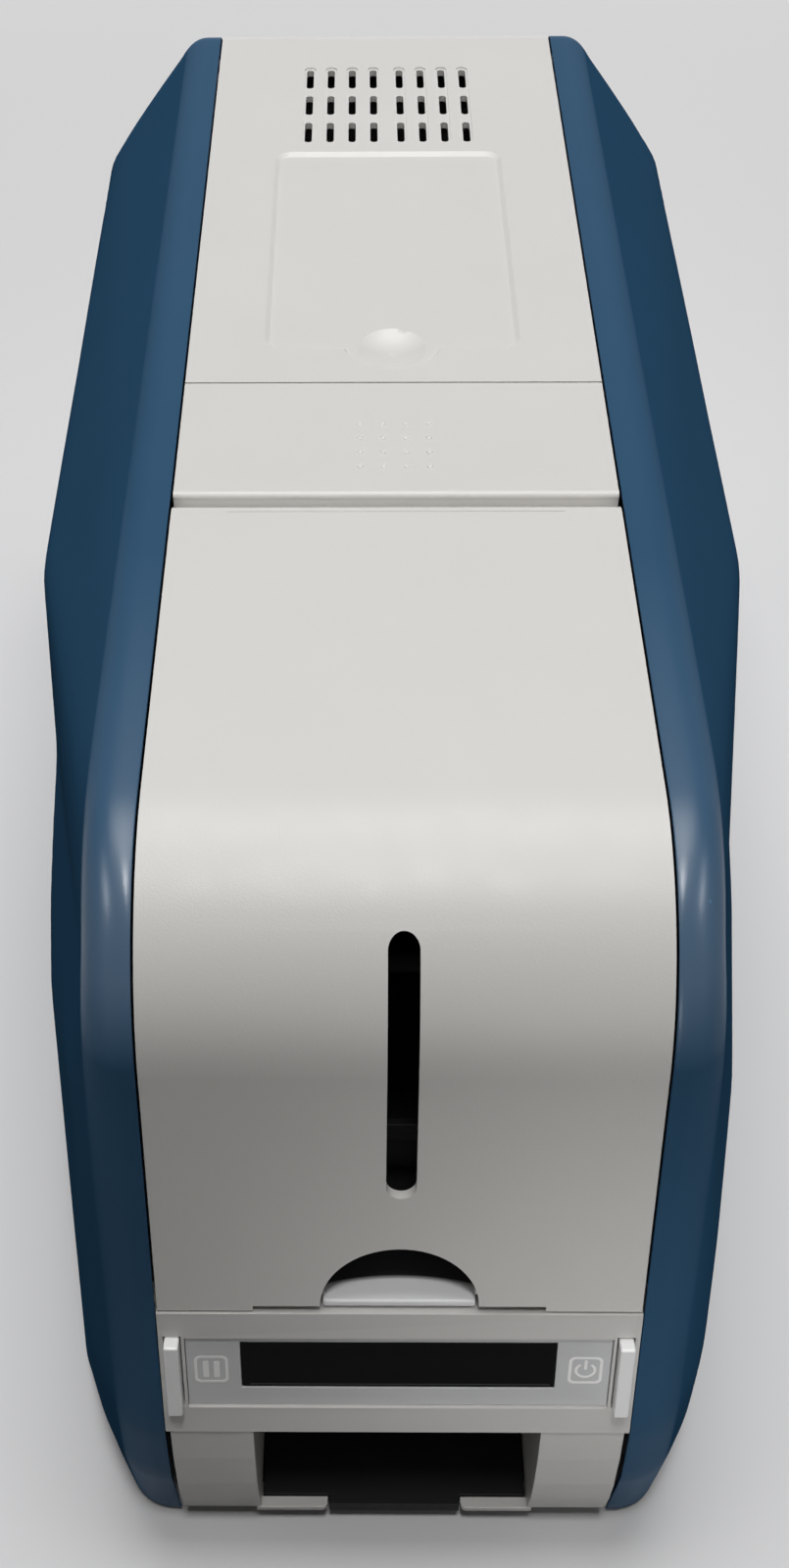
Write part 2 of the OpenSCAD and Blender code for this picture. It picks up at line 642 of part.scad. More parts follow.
// Bridge under the cover seam: ears for the cover's rod and a ledge for the latch hooks
ear_x = 30;
ear_w = 5.5;
knuckle_x = ear_x + ear_w + 0.5;
hook_x = 20;
hook_w = 6;
ledge_end = seam_cover + 7.2;
module hinge_bridge() {
  color("#26272a") difference() {
    union() {
      slab_x(-frame_x, frame_x)
        polygon([top_pt(seam_cover - 16, bridge_q), top_pt(seam_cover + 2.6, bridge_q),
                 top_pt(seam_cover + 2.6, bridge_q + 8), top_pt(seam_cover - 16, bridge_q + 8)]);
      both_sides() slab_x(ear_x, ear_x + ear_w) {
        polygon([cover_pivot - [2.5, 0], cover_pivot + [0.5, -2.4], top_pt(seam_cover - 8, bridge_q + 1),
                 top_pt(seam_cover - 15, bridge_q + 1)]);
        translate(cover_pivot) circle(2.5);
      }
      both_sides() slab_x(hook_x - 1, hook_x + hook_w + 1)
        polygon([top_pt(seam_cover, bridge_q), top_pt(ledge_end, bridge_q),
                 top_pt(ledge_end, bridge_q + 1.6), top_pt(seam_cover, bridge_q + 3)]);
    }
    bar_x(cover_pivot, -frame_x, frame_x, cover_rod_r + 0.02);
  }
}
module cover_hinge_rod() {
  color("silver") bar_x(cover_pivot, -half_strip + 2.6, half_strip - 2.6, cover_rod_r);
}
module lid_hinge_rod() {
  color("silver") bar_x(lid_pivot, -frame_x - frame_t - 0.8, frame_x + frame_t + 0.8, lid_rod_r);
}

module bush(at) {
  translate([frame_x - 0.8, at[0], at[1]]) rotate([0, 90, 0]) difference() {
    union() {
      cylinder(h = frame_t + 2, r = bush_r);
      translate([0, 0, frame_t + 0.8]) cylinder(h = 1.2, r = bush_r + 1.5);
    }
    translate([0, 0, -1]) cylinder(h = frame_t + 5, r = shaft_r + run_fit);
  }
}
module roller_bushes() {
  color("#b08d57") both_sides() for (at = bush_axes) bush(at);
}

belt_gap = 0.3;
belt_t = 1.2;
module belt_2d(r) {
  translate(feed_at) circle(r);
  translate(exit_at) circle(r);
  translate(feed_at - [0, r]) square([exit_at[0] - feed_at[0], 2 * r]);
}
module drive_belt() {
  color("#1a1a1a") slab_x(-pulley_x - belt_w - 0.4, -pulley_x - 0.4) difference() {
    belt_2d(pulley_r + belt_gap + belt_t);
    belt_2d(pulley_r + belt_gap);
  }
}

motor_w = 28;
motor_shaft_r = 1.5;
module feed_motor() {
  depth = 26;
  color("#3b3d42") {
    translate([-frame_x, feed_motor_at[0] - motor_w / 2, feed_motor_at[1] - motor_w / 2])
      cube([depth, motor_w, motor_w]);
    bar_x(feed_motor_at, -frame_x - frame_t, -frame_x, 3.9);
    bar_x(feed_motor_at, -drive_gear_x - gear_w - 1, -frame_x, motor_shaft_r);
  }
}

pickup_motor_r = 10;
module pickup_motor() {
  face_x = side_gear_x + gear_w + 1;
  color("#9a9c9f") {
    bar_x(pickup_motor_at, face_x, half_w - wall - 6.2, pickup_motor_r);
    bar_x(pickup_motor_at, side_gear_x - 0.6, face_x + 1, 1.2);
    translate([face_x, pickup_motor_at[0] - 16, pickup_motor_at[1] - 11]) cube([1.2, 32, 20]);
    for (y = [-14, 14]) bar_x(pickup_motor_at + [y, -9], frame_x + frame_t, face_x + 0.6, 2);
  }
}

module main_board() {
  board_x = half_w - wall - 20.2;
  board_y = rear_y - 153;
  board_low = foot_h + 20;
  color("#2f6b3a") {
    translate([board_x, board_y, board_low]) cube([1.6, 100, 44]);
    for (y = [6, 94], z = [6, 38])
      bar_x([board_y + y, board_low + z], frame_x + frame_t, board_x + 0.5, 2.5);
    translate([board_x + 1.5, board_y, board_low]) {
      translate([0, 22, 12]) cube([2.5, 18, 18]);
      translate([0, 56, 8]) cube([8, 30, 10]);
      translate([0, 84, 24]) cube([10, 12, 14]);
    }
  }
}

fan_t = 10;
module fan_housing() {
  color("#161617") on_rear(fan_s) translate([0, 0, panel_set + panel_t]) difference() {
    linear_extrude(fan_t) rounded_rect(fan_w, fan_w, 3);
    translate([0, 0, 1.4]) cylinder(h = fan_t, r = fan_w / 2 - 1.5);
    for (i = [0 : 3]) rotate(45 + 90 * i) translate([7, -6, -1]) cube([10, 12, 5]);
  }
}
module fan_rotor() {
  color("#2a2a2c") on_rear(fan_s) translate([0, 0, panel_set + panel_t + 2.2]) {
    cylinder(h = 7, r = 7);
    for (i = [0 : 6]) rotate(360 / 7 * i) translate([6, -0.7, 0]) rotate([28, 0, 0]) cube([11.6, 1.2, 5.6]);
  }
}

guide_l = 134;
module card_guide() {
  guide_y = platen_at[0] - 68;
  color("#303236") difference() {
    union() {
      translate([-frame_x, guide_y, path_z - 4]) cube([2 * frame_x, guide_l, 2.4]);
      both_sides() translate([card_w / 2 + 0.8, guide_y, path_z - 2]) cube([2.4, guide_l, 5]);
    }
    translate([-36, platen_at[0] - 14, path_z - 10]) cube([72, 28, 20]);
    for (y = [12, 98]) translate([-14, guide_y + y, path_z - 10]) cube([28, 24, 20]);
  }
}

module diverter_flap() {
  color("#4a4d52") {
    bar_x(flap_at, -frame_x - frame_t - 0.6, frame_x + frame_t + 0.6, 2);
    slab_x(-card_w / 2 + 2, card_w / 2 - 2)
      polygon([flap_at + [-1.6, 0], flap_at + [1.6, -1], flap_at + [5.6, 6.2], flap_at + [4.6, 7]]);
  }
}

// ---------- rollers ----------

module roller(at, r, half_len, out_l, out_r) {
  bar_x(at, -half_len, half_len, r);
  bar_x(at, -out_l, out_r, shaft_r);
  both_sides() bar_x(at, frame_x - 2.6, frame_x - 1.1, shaft_r + 1.6);
}
module pulley(at) {
  x0 = -pulley_x - belt_w - 0.8;
  bar_x(at, x0, x0 + belt_w + 0.8, pulley_r);
  for (x = [x0 - 0.8, x0 + belt_w + 0.8]) bar_x(at, x, x + 0.8, pulley_r + 2.5);
}
low_turn = 90;
stub = frame_x + frame_t + 2.4;
module pickup_roller() {
  color("#2d2d2f") {
    roller(pickup_at, pickup_r, 11, stub, side_gear_x + gear_w);
    gear_x(pickup_at, side_gear_x, gear_w, pickup_teeth, pickup_m, -90);
  }
}
module feed_roller() {
  color("#333335") {
    roller(feed_at, roller_r, roller_x, pulley_x + belt_w + 1.6, side_gear_x + gear_w);
    pulley(feed_at);
    gear_x(feed_at, side_gear_x, gear_w, low_teeth, fine_m, low_turn);
  }
}
module cleaning_roller() {
  color("#3f6fb0") {
    roller(clean_at, pinch_r, roller_x, stub, side_gear_x + gear_w);
    gear_x(clean_at, side_gear_x, gear_w, high_teeth, fine_m, mate_turn(low_turn, high_teeth));
  }
}
module platen_roller() {
  color("#262628") {
    roller(platen_at, roller_r, roller_x, drive_gear_x + gear_w, stub);
    pulley(platen_at);
    gear_x(platen_at, -drive_gear_x - gear_w, gear_w, drive_teeth, drive_m, -90);
  }
}
module exit_roller() {
  color("#333335") {
    roller(exit_at, roller_r, roller_x, pulley_x + belt_w + 1.6, side_gear_x + gear_w);
    pulley(exit_at);
    gear_x(exit_at, side_gear_x, gear_w, low_teeth, fine_m, low_turn);
  }
}
module pinch_roller() {
  color("#333335") {
    roller(pinch_at, pinch_r, roller_x, stub, side_gear_x + gear_w);
    gear_x(pinch_at, side_gear_x, gear_w, high_teeth, fine_m, mate_turn(low_turn, high_teeth));
  }
}
module pinion(at, x0, w, z, m, turn, bore) {
  difference() {
    gear_x(at, x0, w, z, m, turn);
    bar_x(at, x0 - 1, x0 + w + 1, bore + run_fit);
  }
}
module feed_pinion() {
  color("#d9d2c0") pinion(feed_motor_at, -drive_gear_x - gear_w, gear_w, drive_pinion_teeth, drive_m,
                          mate_turn(-90, drive_pinion_teeth), motor_shaft_r);
}
module pickup_pinion() {
  color("#d9d2c0") pinion(pickup_motor_at, side_gear_x, gear_w, pickup_pinion_teeth, pickup_m,
                          mate_turn(-90, pickup_pinion_teeth), 1.2);
}

// ---------- hopper cover ----------

// Everything behind the cover's outline at depth d, out to the depth of back
module nose_slab(x0, x1, d, back, over) {
  p1 = seam_cover - 0.1 - knuckle_r + over;
  r1 = cover_drop + over;
  slab_x(x0, x1) polygon([top_pt(nose_t, d), top_pt(p1, d), top_pt(p1, back), front_pt(r1, back),
                          front_pt(r1, d), front_pt(nose_t, d)]);
  bar_x(nose_c, x0, x1, nose_r - d);
}
// The cover's bent wall from depth d0 to d1
module bent_wall(x0, x1, d0, d1) {
  difference() {
    nose_slab(x0, x1, d0, 20, 0);
    nose_slab(x0 - 1, x1 + 1, d1, 60, 1);
  }
}
module hopper_cover() {
  color("#d4d3ce") difference() {
    union() {
      bent_wall(-half_strip, half_strip, 0, cover_t);
      both_sides() bent_wall(half_strip - 2, half_strip, cover_t / 2, skirt_h);
      difference() {
        bar_x(cover_pivot, -half_strip, half_strip, knuckle_r);
        bar_x(cover_pivot, -half_strip - 1, half_strip + 1, knuckle_r - cover_t);
        slab_x(-half_strip - 1, half_strip + 1) polygon([cover_pivot + [-0.1, 20], cover_pivot, cover_pivot + [20, -1],
          cover_pivot + [20, -20], cover_pivot + [-20, -20], cover_pivot + [-20, 20]]);
      }
      both_sides() bar_x(cover_pivot, knuckle_x, half_strip, knuckle_r);
    }
    bar_x(cover_pivot, -half_strip + 2.2, half_strip - 2.2, cover_rod_r + run_fit);
    // Card level slot, from the middle of the nose down the front
    on_front() translate([0, 0, -nose_r]) linear_extrude(nose_r + 5) {
      top_y = -nose_t + nose_r * sin(nose_turn / 2);
      translate([-slot_w / 2, -slot_end + slot_w / 2])
        square([slot_w, slot_end + top_y - slot_w]);
      for (y = [-slot_end + slot_w / 2, top_y - slot_w / 2]) translate([0, y]) circle(slot_w / 2);
    }
    // Thumb notch and the relief beside it
    on_front(cover_drop) translate([0, 0, -cover_t - 1]) linear_extrude(cover_t + 5) {
      translate([0, relief_h]) circle(notch_r);
      translate([-relief_x, -5]) square([2 * relief_x, relief_h + 5]);
    }
  }
}

// ---------- lid ----------

recess_mid = (seam_cover + latch_l + 14) + recess_l / 2;
vent_mid = recess_mid + recess_l / 2 + 27.2;
vent_columns = [3.7, 9.7, 15.7, 21.7];
recess_soft = 1.2;                     // width of the recess's sloped edge
scoop_r = 17;
scoop_low = 2.9;                       // depth of the scoop's bottom below the lid
scoop_edge_r = 12;
scoop_out = 8.6;                       // the scoop's rim reaches this far in front of the recess
// The recess's sloped walls, between its floor and the lid's surface
module soft_recess() {
  hull() {
    translate([0, 0, -recess_d]) linear_extrude(0.1)
      rounded_rect(recess_w - recess_soft, recess_l - recess_soft, 3.2);
    linear_extrude(0.4) rounded_rect(recess_w + recess_soft, recess_l + recess_soft, 4.4);
  }
}
module top_lid() {
  lid_end = top_l - lid_t;
  color("#d4d3ce") difference() {
    union() {
      on_top(lid_start) translate([-half_strip, 0, -cover_t]) cube([strip_w, lid_end - lid_start + 0.3, cover_t]);
      both_sides() on_top(lid_start) translate([half_strip - 2, 0, -skirt_h])
        cube([2, lid_end - lid_start - 8, skirt_h]);
      difference() {
        bar_x(lid_pivot, -half_strip, half_strip, lid_r);
        bar_x(lid_pivot, -half_strip - 1, half_strip + 1, lid_r - cover_t);
        slab_x(-half_strip - 1, half_strip + 1) polygon([top_pt(lid_end, -20), lid_pivot, lid_pivot + [20, 0],
          lid_pivot + [20, -20], lid_pivot + [-20, -20], lid_pivot + [-20, 20]]);
      }
      on_top(recess_mid - recess_l / 2) translate([-14, -10, -cover_t - 1.8]) cube([28, 22, 2]);
    }
    on_top(recess_mid) soft_recess();
    on_top(recess_mid - recess_l / 2) translate([0, scoop_edge_r - scoop_out, -recess_d])
      cylinder(h = recess_d + 0.4, r1 = scoop_edge_r - recess_soft / 2, r2 = scoop_edge_r + recess_soft / 2);
    on_top(recess_mid - recess_l / 2) translate([0, 1, scoop_r - scoop_low]) sphere(scoop_r, $fn = 96);
    on_top(vent_mid) both_sides() for (x = vent_columns) translate([x, 0, 0]) {
      translate([0, 0, -0.5]) linear_extrude(2) rounded_rect(3.2, 2 * vent_pitch + vent_l + 2, 1.5);
      for (i = [-1 : 1]) translate([0, i * vent_pitch, -10]) linear_extrude(20)
        rounded_rect(vent_w, vent_l, vent_w / 2 - 0.1);
    }
  }
}

// Frame under the lid: two side plates that carry the latch, spools, head and hinge, and their ties
leg_low = path_z + 13;
module lid_plate_2d() {
  polygon([top_pt(seam_cover + 8.4, 4.9), top_pt(latch_end - 7.6, 3.6), top_pt(lid_start - 0.4, 3.4),
           top_pt(lid_start, cover_t + 0.02), top_pt(top_l - lid_t, cover_t + 0.02), top_pt(top_l - lid_t, 12),
           top_pt(top_l - lid_t - 30, 16), top_pt(seam_cover + 12, 14), top_pt(seam_cover + 8.4, 11)]);
  polygon([top_pt(seam_cover + 30, 10), top_pt(seam_cover + 70, 10), takeup_at + [7, -4], takeup_at + [-7, -4]]);
  polygon([top_pt(seam_cover + 70, 10), top_pt(seam_cover + 104, 10), [platen_at[0] + 10, leg_low],
           [platen_at[0] - 10, leg_low]]);
  polygon([top_pt(seam_cover + 124, 10), top_pt(seam_cover + 160, 10), supply_at + [7, -4], supply_at + [-7, -4]]);
  translate(takeup_at) circle(8);
  translate(supply_at) circle(8);
  translate(ribbon_motor_at) circle(8);
  translate(lid_pivot) circle(5.5);
}
head_pin_at = [platen_at[0], path_z + 18];
module lid_frame() {
  color("#5a5d62") difference() {
    union() {
      both_sides() slab_x(lid_plate_x, lid_plate_x + lid_plate_t) lid_plate_2d();
      translate([-lid_plate_x - 1, platen_at[0] - 9, path_z + 37]) cube([2 * lid_plate_x + 2, 18, 3]);
      bar_x(top_pt(seam_cover + 90, 14), -lid_plate_x - 1, lid_plate_x + 1, 3.5);
      bar_x(top_pt(top_l - 20, 9), -lid_plate_x - 1, lid_plate_x + 1, 3.5);
    }
    for (at = [latch_pivot, hook_pivot]) bar_x(at, -half_strip, half_strip, pin_r + run_fit);
    for (at = [takeup_at, supply_at]) bar_x(at, -half_strip, half_strip, shaft_r + run_fit);
    bar_x(head_pin_at, -half_strip, half_strip, 2 + run_fit);
    bar_x(lid_pivot, -half_strip, half_strip, lid_rod_r + run_fit);
    bar_x(ribbon_motor_at, lid_plate_x - 1, half_strip, 1.8);
  }
}

head_x = 30;
module print_head() {
  color("#d8c9a8") slab_x(-head_x, head_x)
    polygon([platen_at + [-1.2, roller_r + 1.2], platen_at + [1.2, roller_r + 1.2],
             platen_at + [5, roller_r + 3.4], platen_at + [5, roller_r + 7],
             platen_at + [-5, roller_r + 7], platen_at + [-5, roller_r + 3.4]]);
}
module head_heatsink() {
  base = platen_at + [0, roller_r + 7];
  color("#b9bcc0") {
    translate([-head_x, base[0] - 9, base[1]]) cube([2 * head_x, 18, 3]);
    for (i = [0 : 9]) translate([-head_x + 0.5 + i * 6.4, base[0] - 9, base[1] + 2.5]) cube([1.4, 18, 13.5]);
  }
}
bracket_top = path_z + 26.5;
module head_bracket() {
  color("#8f9296") {
    translate([-head_x - 2.3, platen_at[0] - 8, bracket_top - 2]) cube([2 * head_x + 4.6, 16, 2]);
    both_sides() translate([head_x + 0.3, platen_at[0] - 8, path_z + 5]) cube([2, 16, bracket_top - path_z - 6]);
    both_sides() bar_x(head_pin_at, head_x + 2, lid_plate_x + lid_plate_t + 0.6, 2);
  }
}
module head_springs() {
  color("silver") for (x = [-20, 20]) translate([x, platen_at[0], bracket_top])
    coil_spring(4, 0.5, path_z + 37 - bracket_top, 5);
}

module spool(at, roll_r) {
  bar_x(at, -card_w / 2 - 3, card_w / 2 + 3, roll_r);
  both_sides() bar_x(at, card_w / 2 + 4, card_w / 2 + 6, spool_flange_r);
  bar_x(at, -card_w / 2 - 6, card_w / 2 + 6, core_r);
}
ribbon_gear_x = lid_plate_x + lid_plate_t + 1;
ribbon_gear_w = 3;
module supply_spool() {
  color("#4b4136") {
    spool(supply_at, 14);
    bar_x(supply_at, -lid_plate_x - lid_plate_t, lid_plate_x + lid_plate_t, shaft_r);
  }
}
module takeup_spool() {
  color("#5a5148") {
    spool(takeup_at, 11);
    bar_x(takeup_at, -lid_plate_x - lid_plate_t, ribbon_gear_x + ribbon_gear_w, shaft_r);
    gear_x(takeup_at, ribbon_gear_x, ribbon_gear_w, ribbon_teeth, drive_m, ribbon_angle);
  }
}
module ribbon_motor() {
  color("#9a9c9f") {
    bar_x(ribbon_motor_at, lid_plate_x - 22, lid_plate_x, 7.5);
    bar_x(ribbon_motor_at, lid_plate_x - 1, ribbon_gear_x + ribbon_gear_w, 1.2);
  }
}
module ribbon_pinion() {
  color("#d9d2c0") pinion(ribbon_motor_at, ribbon_gear_x, ribbon_gear_w, ribbon_pinion_teeth, drive_m,
                          mate_turn(ribbon_angle, ribbon_pinion_teeth), 1.2);
}

// ---------- latch ----------

latch_t = 2;
latch_lip = 4.6;                       // depth of the strip's front edge
module latch_button() {
  latch_len = latch_end - latch_start;
  edge_r = latch_t / 2 + 0.1;
  color("#d4d3ce") {
    on_top(latch_start) {
      translate([-half_strip, edge_r, -latch_t]) cube([strip_w, latch_len - edge_r, latch_t]);
      translate([0, edge_r, 0.2 - edge_r]) rotate([0, 90, 0])
        cylinder(h = strip_w, r = edge_r, center = true, $fn = 32);
      translate([-half_strip, 0.1, -latch_lip]) cube([strip_w, 1.8, latch_lip - edge_r + 0.1]);
      for (i = [-1.5 : 1.5], k = [0 : 3])
        translate([i * dot_pitch, 9.7 + k * dot_pitch, -0.35]) sphere(dot_d / 2, $fn = 24);
    }
    both_sides() {
      bar_x(latch_pivot, lid_plate_x - 5, lid_plate_x - 0.3, 2.6);
      bar_x(latch_pivot, lid_plate_x - 1, lid_plate_x + lid_plate_t, pin_r);
      slab_x(lid_plate_x - 5, lid_plate_x - 0.3)
        polygon([latch_pivot + [-2.5, 0], latch_pivot + [2.5, 0], latch_pivot + [2.1, 5], latch_pivot + [-2.9, 4.6]]);
    }
  }
}
module latch_hooks() {
  color("#77797d") {
    bar_x(hook_pivot, -lid_plate_x + 0.3, lid_plate_x - 0.3, 2.6);
    both_sides() bar_x(hook_pivot, lid_plate_x - 1, lid_plate_x + lid_plate_t, pin_r);
    both_sides() slab_x(hook_x, hook_x + hook_w)
      polygon([top_pt(seam_cover + 10.4, 9), top_pt(seam_cover + 14.6, 9.5), top_pt(seam_cover + 13, 21),
               top_pt(seam_cover + 5, 19.6), top_pt(seam_cover + 5, 18.4), top_pt(seam_cover + 9, 17.4),
               top_pt(seam_cover + 9, 13)]);
  }
}

base_pan();
shell_left();
shell_right();
side_frame_left();
side_frame_right();
rear_panel();
power_inlet();
usb_port();
network_port();
main_board();
control_bezel();
display_overlay();
lcd_glass();
control_board();
output_hopper();
output_tray();
output_chute();
hopper_floor();
input_hopper();
card_gate();
hinge_bridge();
cover_hinge_rod();
lid_hinge_rod();
roller_bushes();
drive_belt();
feed_motor();
pickup_motor();
fan_housing();
rubber_feet();
frame_ties();
card_guide();
hopper_cover();
top_lid();
lid_frame();
print_head();
head_heatsink();
head_bracket();
head_springs();
ribbon_motor();
ribbon_pinion();
takeup_spool();
supply_spool();
latch_button();
latch_hooks();
pause_button();
power_button();
pickup_roller();
feed_roller();
cleaning_roller();
platen_roller();
exit_roller();
pinch_roller();
feed_pinion();
pickup_pinion();
fan_rotor();
diverter_flap();
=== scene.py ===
"""Looks for the card printer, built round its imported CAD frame.

Lengths are millimetres unless a comment says metres; MM turns them into metres.
"""

import json
import math

import bmesh
import bpy
import numpy as np
from mathutils import Matrix, Vector


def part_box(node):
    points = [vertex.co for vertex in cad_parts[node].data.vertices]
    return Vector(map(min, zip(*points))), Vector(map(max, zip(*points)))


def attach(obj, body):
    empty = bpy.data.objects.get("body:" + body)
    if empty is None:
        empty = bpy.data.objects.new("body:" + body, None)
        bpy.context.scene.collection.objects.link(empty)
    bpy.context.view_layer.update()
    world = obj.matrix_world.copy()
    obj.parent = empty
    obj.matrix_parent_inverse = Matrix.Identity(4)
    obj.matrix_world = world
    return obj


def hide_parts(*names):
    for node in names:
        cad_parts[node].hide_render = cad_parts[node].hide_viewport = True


MM = 0.001

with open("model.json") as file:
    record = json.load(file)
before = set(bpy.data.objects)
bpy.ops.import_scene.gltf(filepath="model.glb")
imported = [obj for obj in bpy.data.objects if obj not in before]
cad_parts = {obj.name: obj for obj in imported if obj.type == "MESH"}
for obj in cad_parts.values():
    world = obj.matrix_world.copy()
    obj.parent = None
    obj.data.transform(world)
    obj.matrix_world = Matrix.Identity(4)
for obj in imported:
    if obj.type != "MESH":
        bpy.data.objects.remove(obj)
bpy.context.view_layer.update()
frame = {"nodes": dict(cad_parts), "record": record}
nodes = frame["nodes"]
slot_of = {s["node"]: s["material_slot"] for s in frame["record"]["subparts"]}
scene = bpy.context.scene


# ---------- the body's planes, from the frame and a few angles ----------

shell_low, shell_high = (Vector(corner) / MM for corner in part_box("shell_right"))
FRONT_Y, REAR_Y = shell_low.y, shell_high.y
FOOT_Z = shell_low.z
SHELL_IN, HALF_W = shell_low.x, shell_high.x
BODY_H = 206                          # height of the sharp corner behind the lid's rounded rear edge
TOP_SLOPE = math.radians(5.3)
FRONT_LEAN = math.radians(11.8)
REAR_SET = 23.2                       # how far the rear plane leans forwards over its height
REAR_LEAN = math.atan(REAR_SET / (BODY_H - FOOT_Z))
FRONT_LIP = 0.6                       # from the foremost point back to the panel's lower end
PANEL_TOP = 93.25                     # the panel starts this far down the front plane
PANEL_H = 35
PANEL_END = PANEL_TOP + PANEL_H
NOSE_R = 44
LID_R = 8
# The sharp corner where the top and the front plane would meet
corner_y = FRONT_Y + FRONT_LIP + PANEL_END * math.sin(FRONT_LEAN)
corner_z = BODY_H - (REAR_Y - REAR_SET - corner_y) * math.tan(TOP_SLOPE)


def top_point(p, q):
    """(y, z) of the point p rearwards along the top plane and q below it."""
    c, s = math.cos(TOP_SLOPE), math.sin(TOP_SLOPE)
    return corner_y + p * c + q * s, corner_z + p * s - q * c


def front_point(r):
    """(y, z) of the point r down the front plane."""
    return corner_y - r * math.sin(FRONT_LEAN), corner_z - r * math.cos(FRONT_LEAN)


def rear_y_at(z, d=0.0):
    """y of the rear plane at height z, or of the plane d inside it."""
    return REAR_Y - (z - FOOT_Z) * math.tan(REAR_LEAN) - d / math.cos(REAR_LEAN)


def plane(origin, x, y, z):
    """Matrix in metres whose columns are the local x, y and z directions at origin."""
    m = Matrix((x, y, z)).transposed().to_4x4()
    m.translation = Vector(origin) * MM
    return m


def on_front(r):
    """Local frame on the front plane, r down it: y up, z out."""
    c, s = math.cos(FRONT_LEAN), math.sin(FRONT_LEAN)
    return plane((0, *front_point(r)), (1, 0, 0), (0, s, c), (0, -c, s))


def on_rear(z):
    """Local frame on the rear plane at height z: x to the machine's left, y up, z out."""
    c, s = math.cos(REAR_LEAN), math.sin(REAR_LEAN)
    return plane((0, rear_y_at(z), z), (-1, 0, 0), (0, -s, c), (0, c, s))


# ---------- camera ----------

IMAGE_H = 1600
SENSOR = 36
FOCAL_PX = 1795.1
SHIFT_X = 0.0359
CLIP = (0.01, 20)                     # metres
CAMERA_AT = (-8.37, -368.02, 397.85)
# Turns about the world's upright, then the tilt up from straight down, then about the line of sight
CAMERA_TURN = (math.radians(0.834), math.radians(90 - 42.906), math.radians(-0.571))

cam_data = bpy.data.cameras.new("camera")
cam_data.sensor_width = SENSOR
cam_data.lens = FOCAL_PX / IMAGE_H * SENSOR
cam_data.shift_x = SHIFT_X
cam_data.clip_start, cam_data.clip_end = CLIP
camera = bpy.data.objects.new("camera", cam_data)
place = Matrix.Translation(Vector(CAMERA_AT) * MM)
turn, tilt, roll = (Matrix.Rotation(angle, 4, axis) for angle, axis in zip(CAMERA_TURN, "ZXZ"))
camera.matrix_world = place @ turn @ tilt @ roll
scene.collection.objects.link(camera)
scene.camera = camera
scene.view_settings.view_transform = "Standard"


# ---------- lamps and world ----------

def aimed(data, place, target):
    """A lamp object at place that points at target, both in metres."""
    lamp = bpy.data.objects.new(data.name, data)
    lamp.location = place
    lamp.rotation_mode = "QUATERNION"
    lamp.rotation_quaternion = (Vector(target) - Vector(place)).to_track_quat("-Z", "Y")
    scene.collection.objects.link(lamp)
    return lamp


def area_light(name, place, target, size, power, mirrored=True, lights=True):
    """A rectangular lamp; place, target and size are metres and power is watts.

    One that isn't mirrored makes no highlights, and one that doesn't light makes only highlights.
    """
    data = bpy.data.lights.new(name, "AREA")
    data.shape = "RECTANGLE"
    data.size, data.size_y = size
    data.energy = power
    lamp = aimed(data, place, target)
    lamp.visible_glossy = mirrored
    lamp.visible_diffuse = lights


def spot_light(name, place, target, reach, power):
    """A soft round lamp whose light fades out at reach round its target, in metres and watts."""
    data = bpy.data.lights.new(name, "SPOT")
    data.energy = power
    data.shadow_soft_size = SPOT_RADIUS
    data.spot_size = 2 * math.atan(reach / (Vector(target) - Vector(place)).length)
    data.spot_blend = 1.0
    aimed(data, place, target)


# In metres, as the lamps are
SPOT_RADIUS = 0.05
BODY_MIDDLE = (0.0, 0.0, 0.1)
NOSE = (0.0, -0.15, 0.15)
FILL_SIZE = (1.2, 0.8)
SIDE_FILL_AT = (2.1, 0.3, 0.4)
BAND_LIGHT_AT = (1.25, -0.55, 1.4)
BAND_LIGHT_SIZE = (0.6, 0.25)
area_light("overhead_rear", (0.0, 0.22, 1.9), BODY_MIDDLE, size=(1.1, 0.8), power=18.4)
area_light("overhead_front", (0.02, -0.6, 1.85), (0.0, -0.1, 0.1), size=(0.26, 0.26), power=9.6)
area_light("rear_fill", (0.0, 2.4, 0.4), (0.0, 0.19, 0.1), FILL_SIZE, power=13.0, mirrored=False)
for side in (-1, 1):
    x, y, z = SIDE_FILL_AT
    area_light("side_fill", (side * x, y, z), BODY_MIDDLE, FILL_SIZE, power=5.0, mirrored=False)
for side in (-1, 1):
    x, y, z = BAND_LIGHT_AT
    area_light("band_light", (side * x, y, z), NOSE, BAND_LIGHT_SIZE, power=3.6, lights=False)
spot_light("front_right", (0.0, -1.5, 0.25), (0.064, -0.19, 0.075), reach=0.1, power=22.0)


def pale_ray(tree):
    """1 for the rays that see the pale background: camera, glossy and transmission rays."""
    path = tree.nodes.new("ShaderNodeLightPath")
    total = path.outputs["Is Camera Ray"]
    for name in ("Is Glossy Ray", "Is Transmission Ray"):
        either = tree.nodes.new("ShaderNodeMath")
        either.operation = "MAXIMUM"
        tree.links.new(total, either.inputs[0])
        tree.links.new(path.outputs[name], either.inputs[1])
        total = either.outputs[0]
    return total


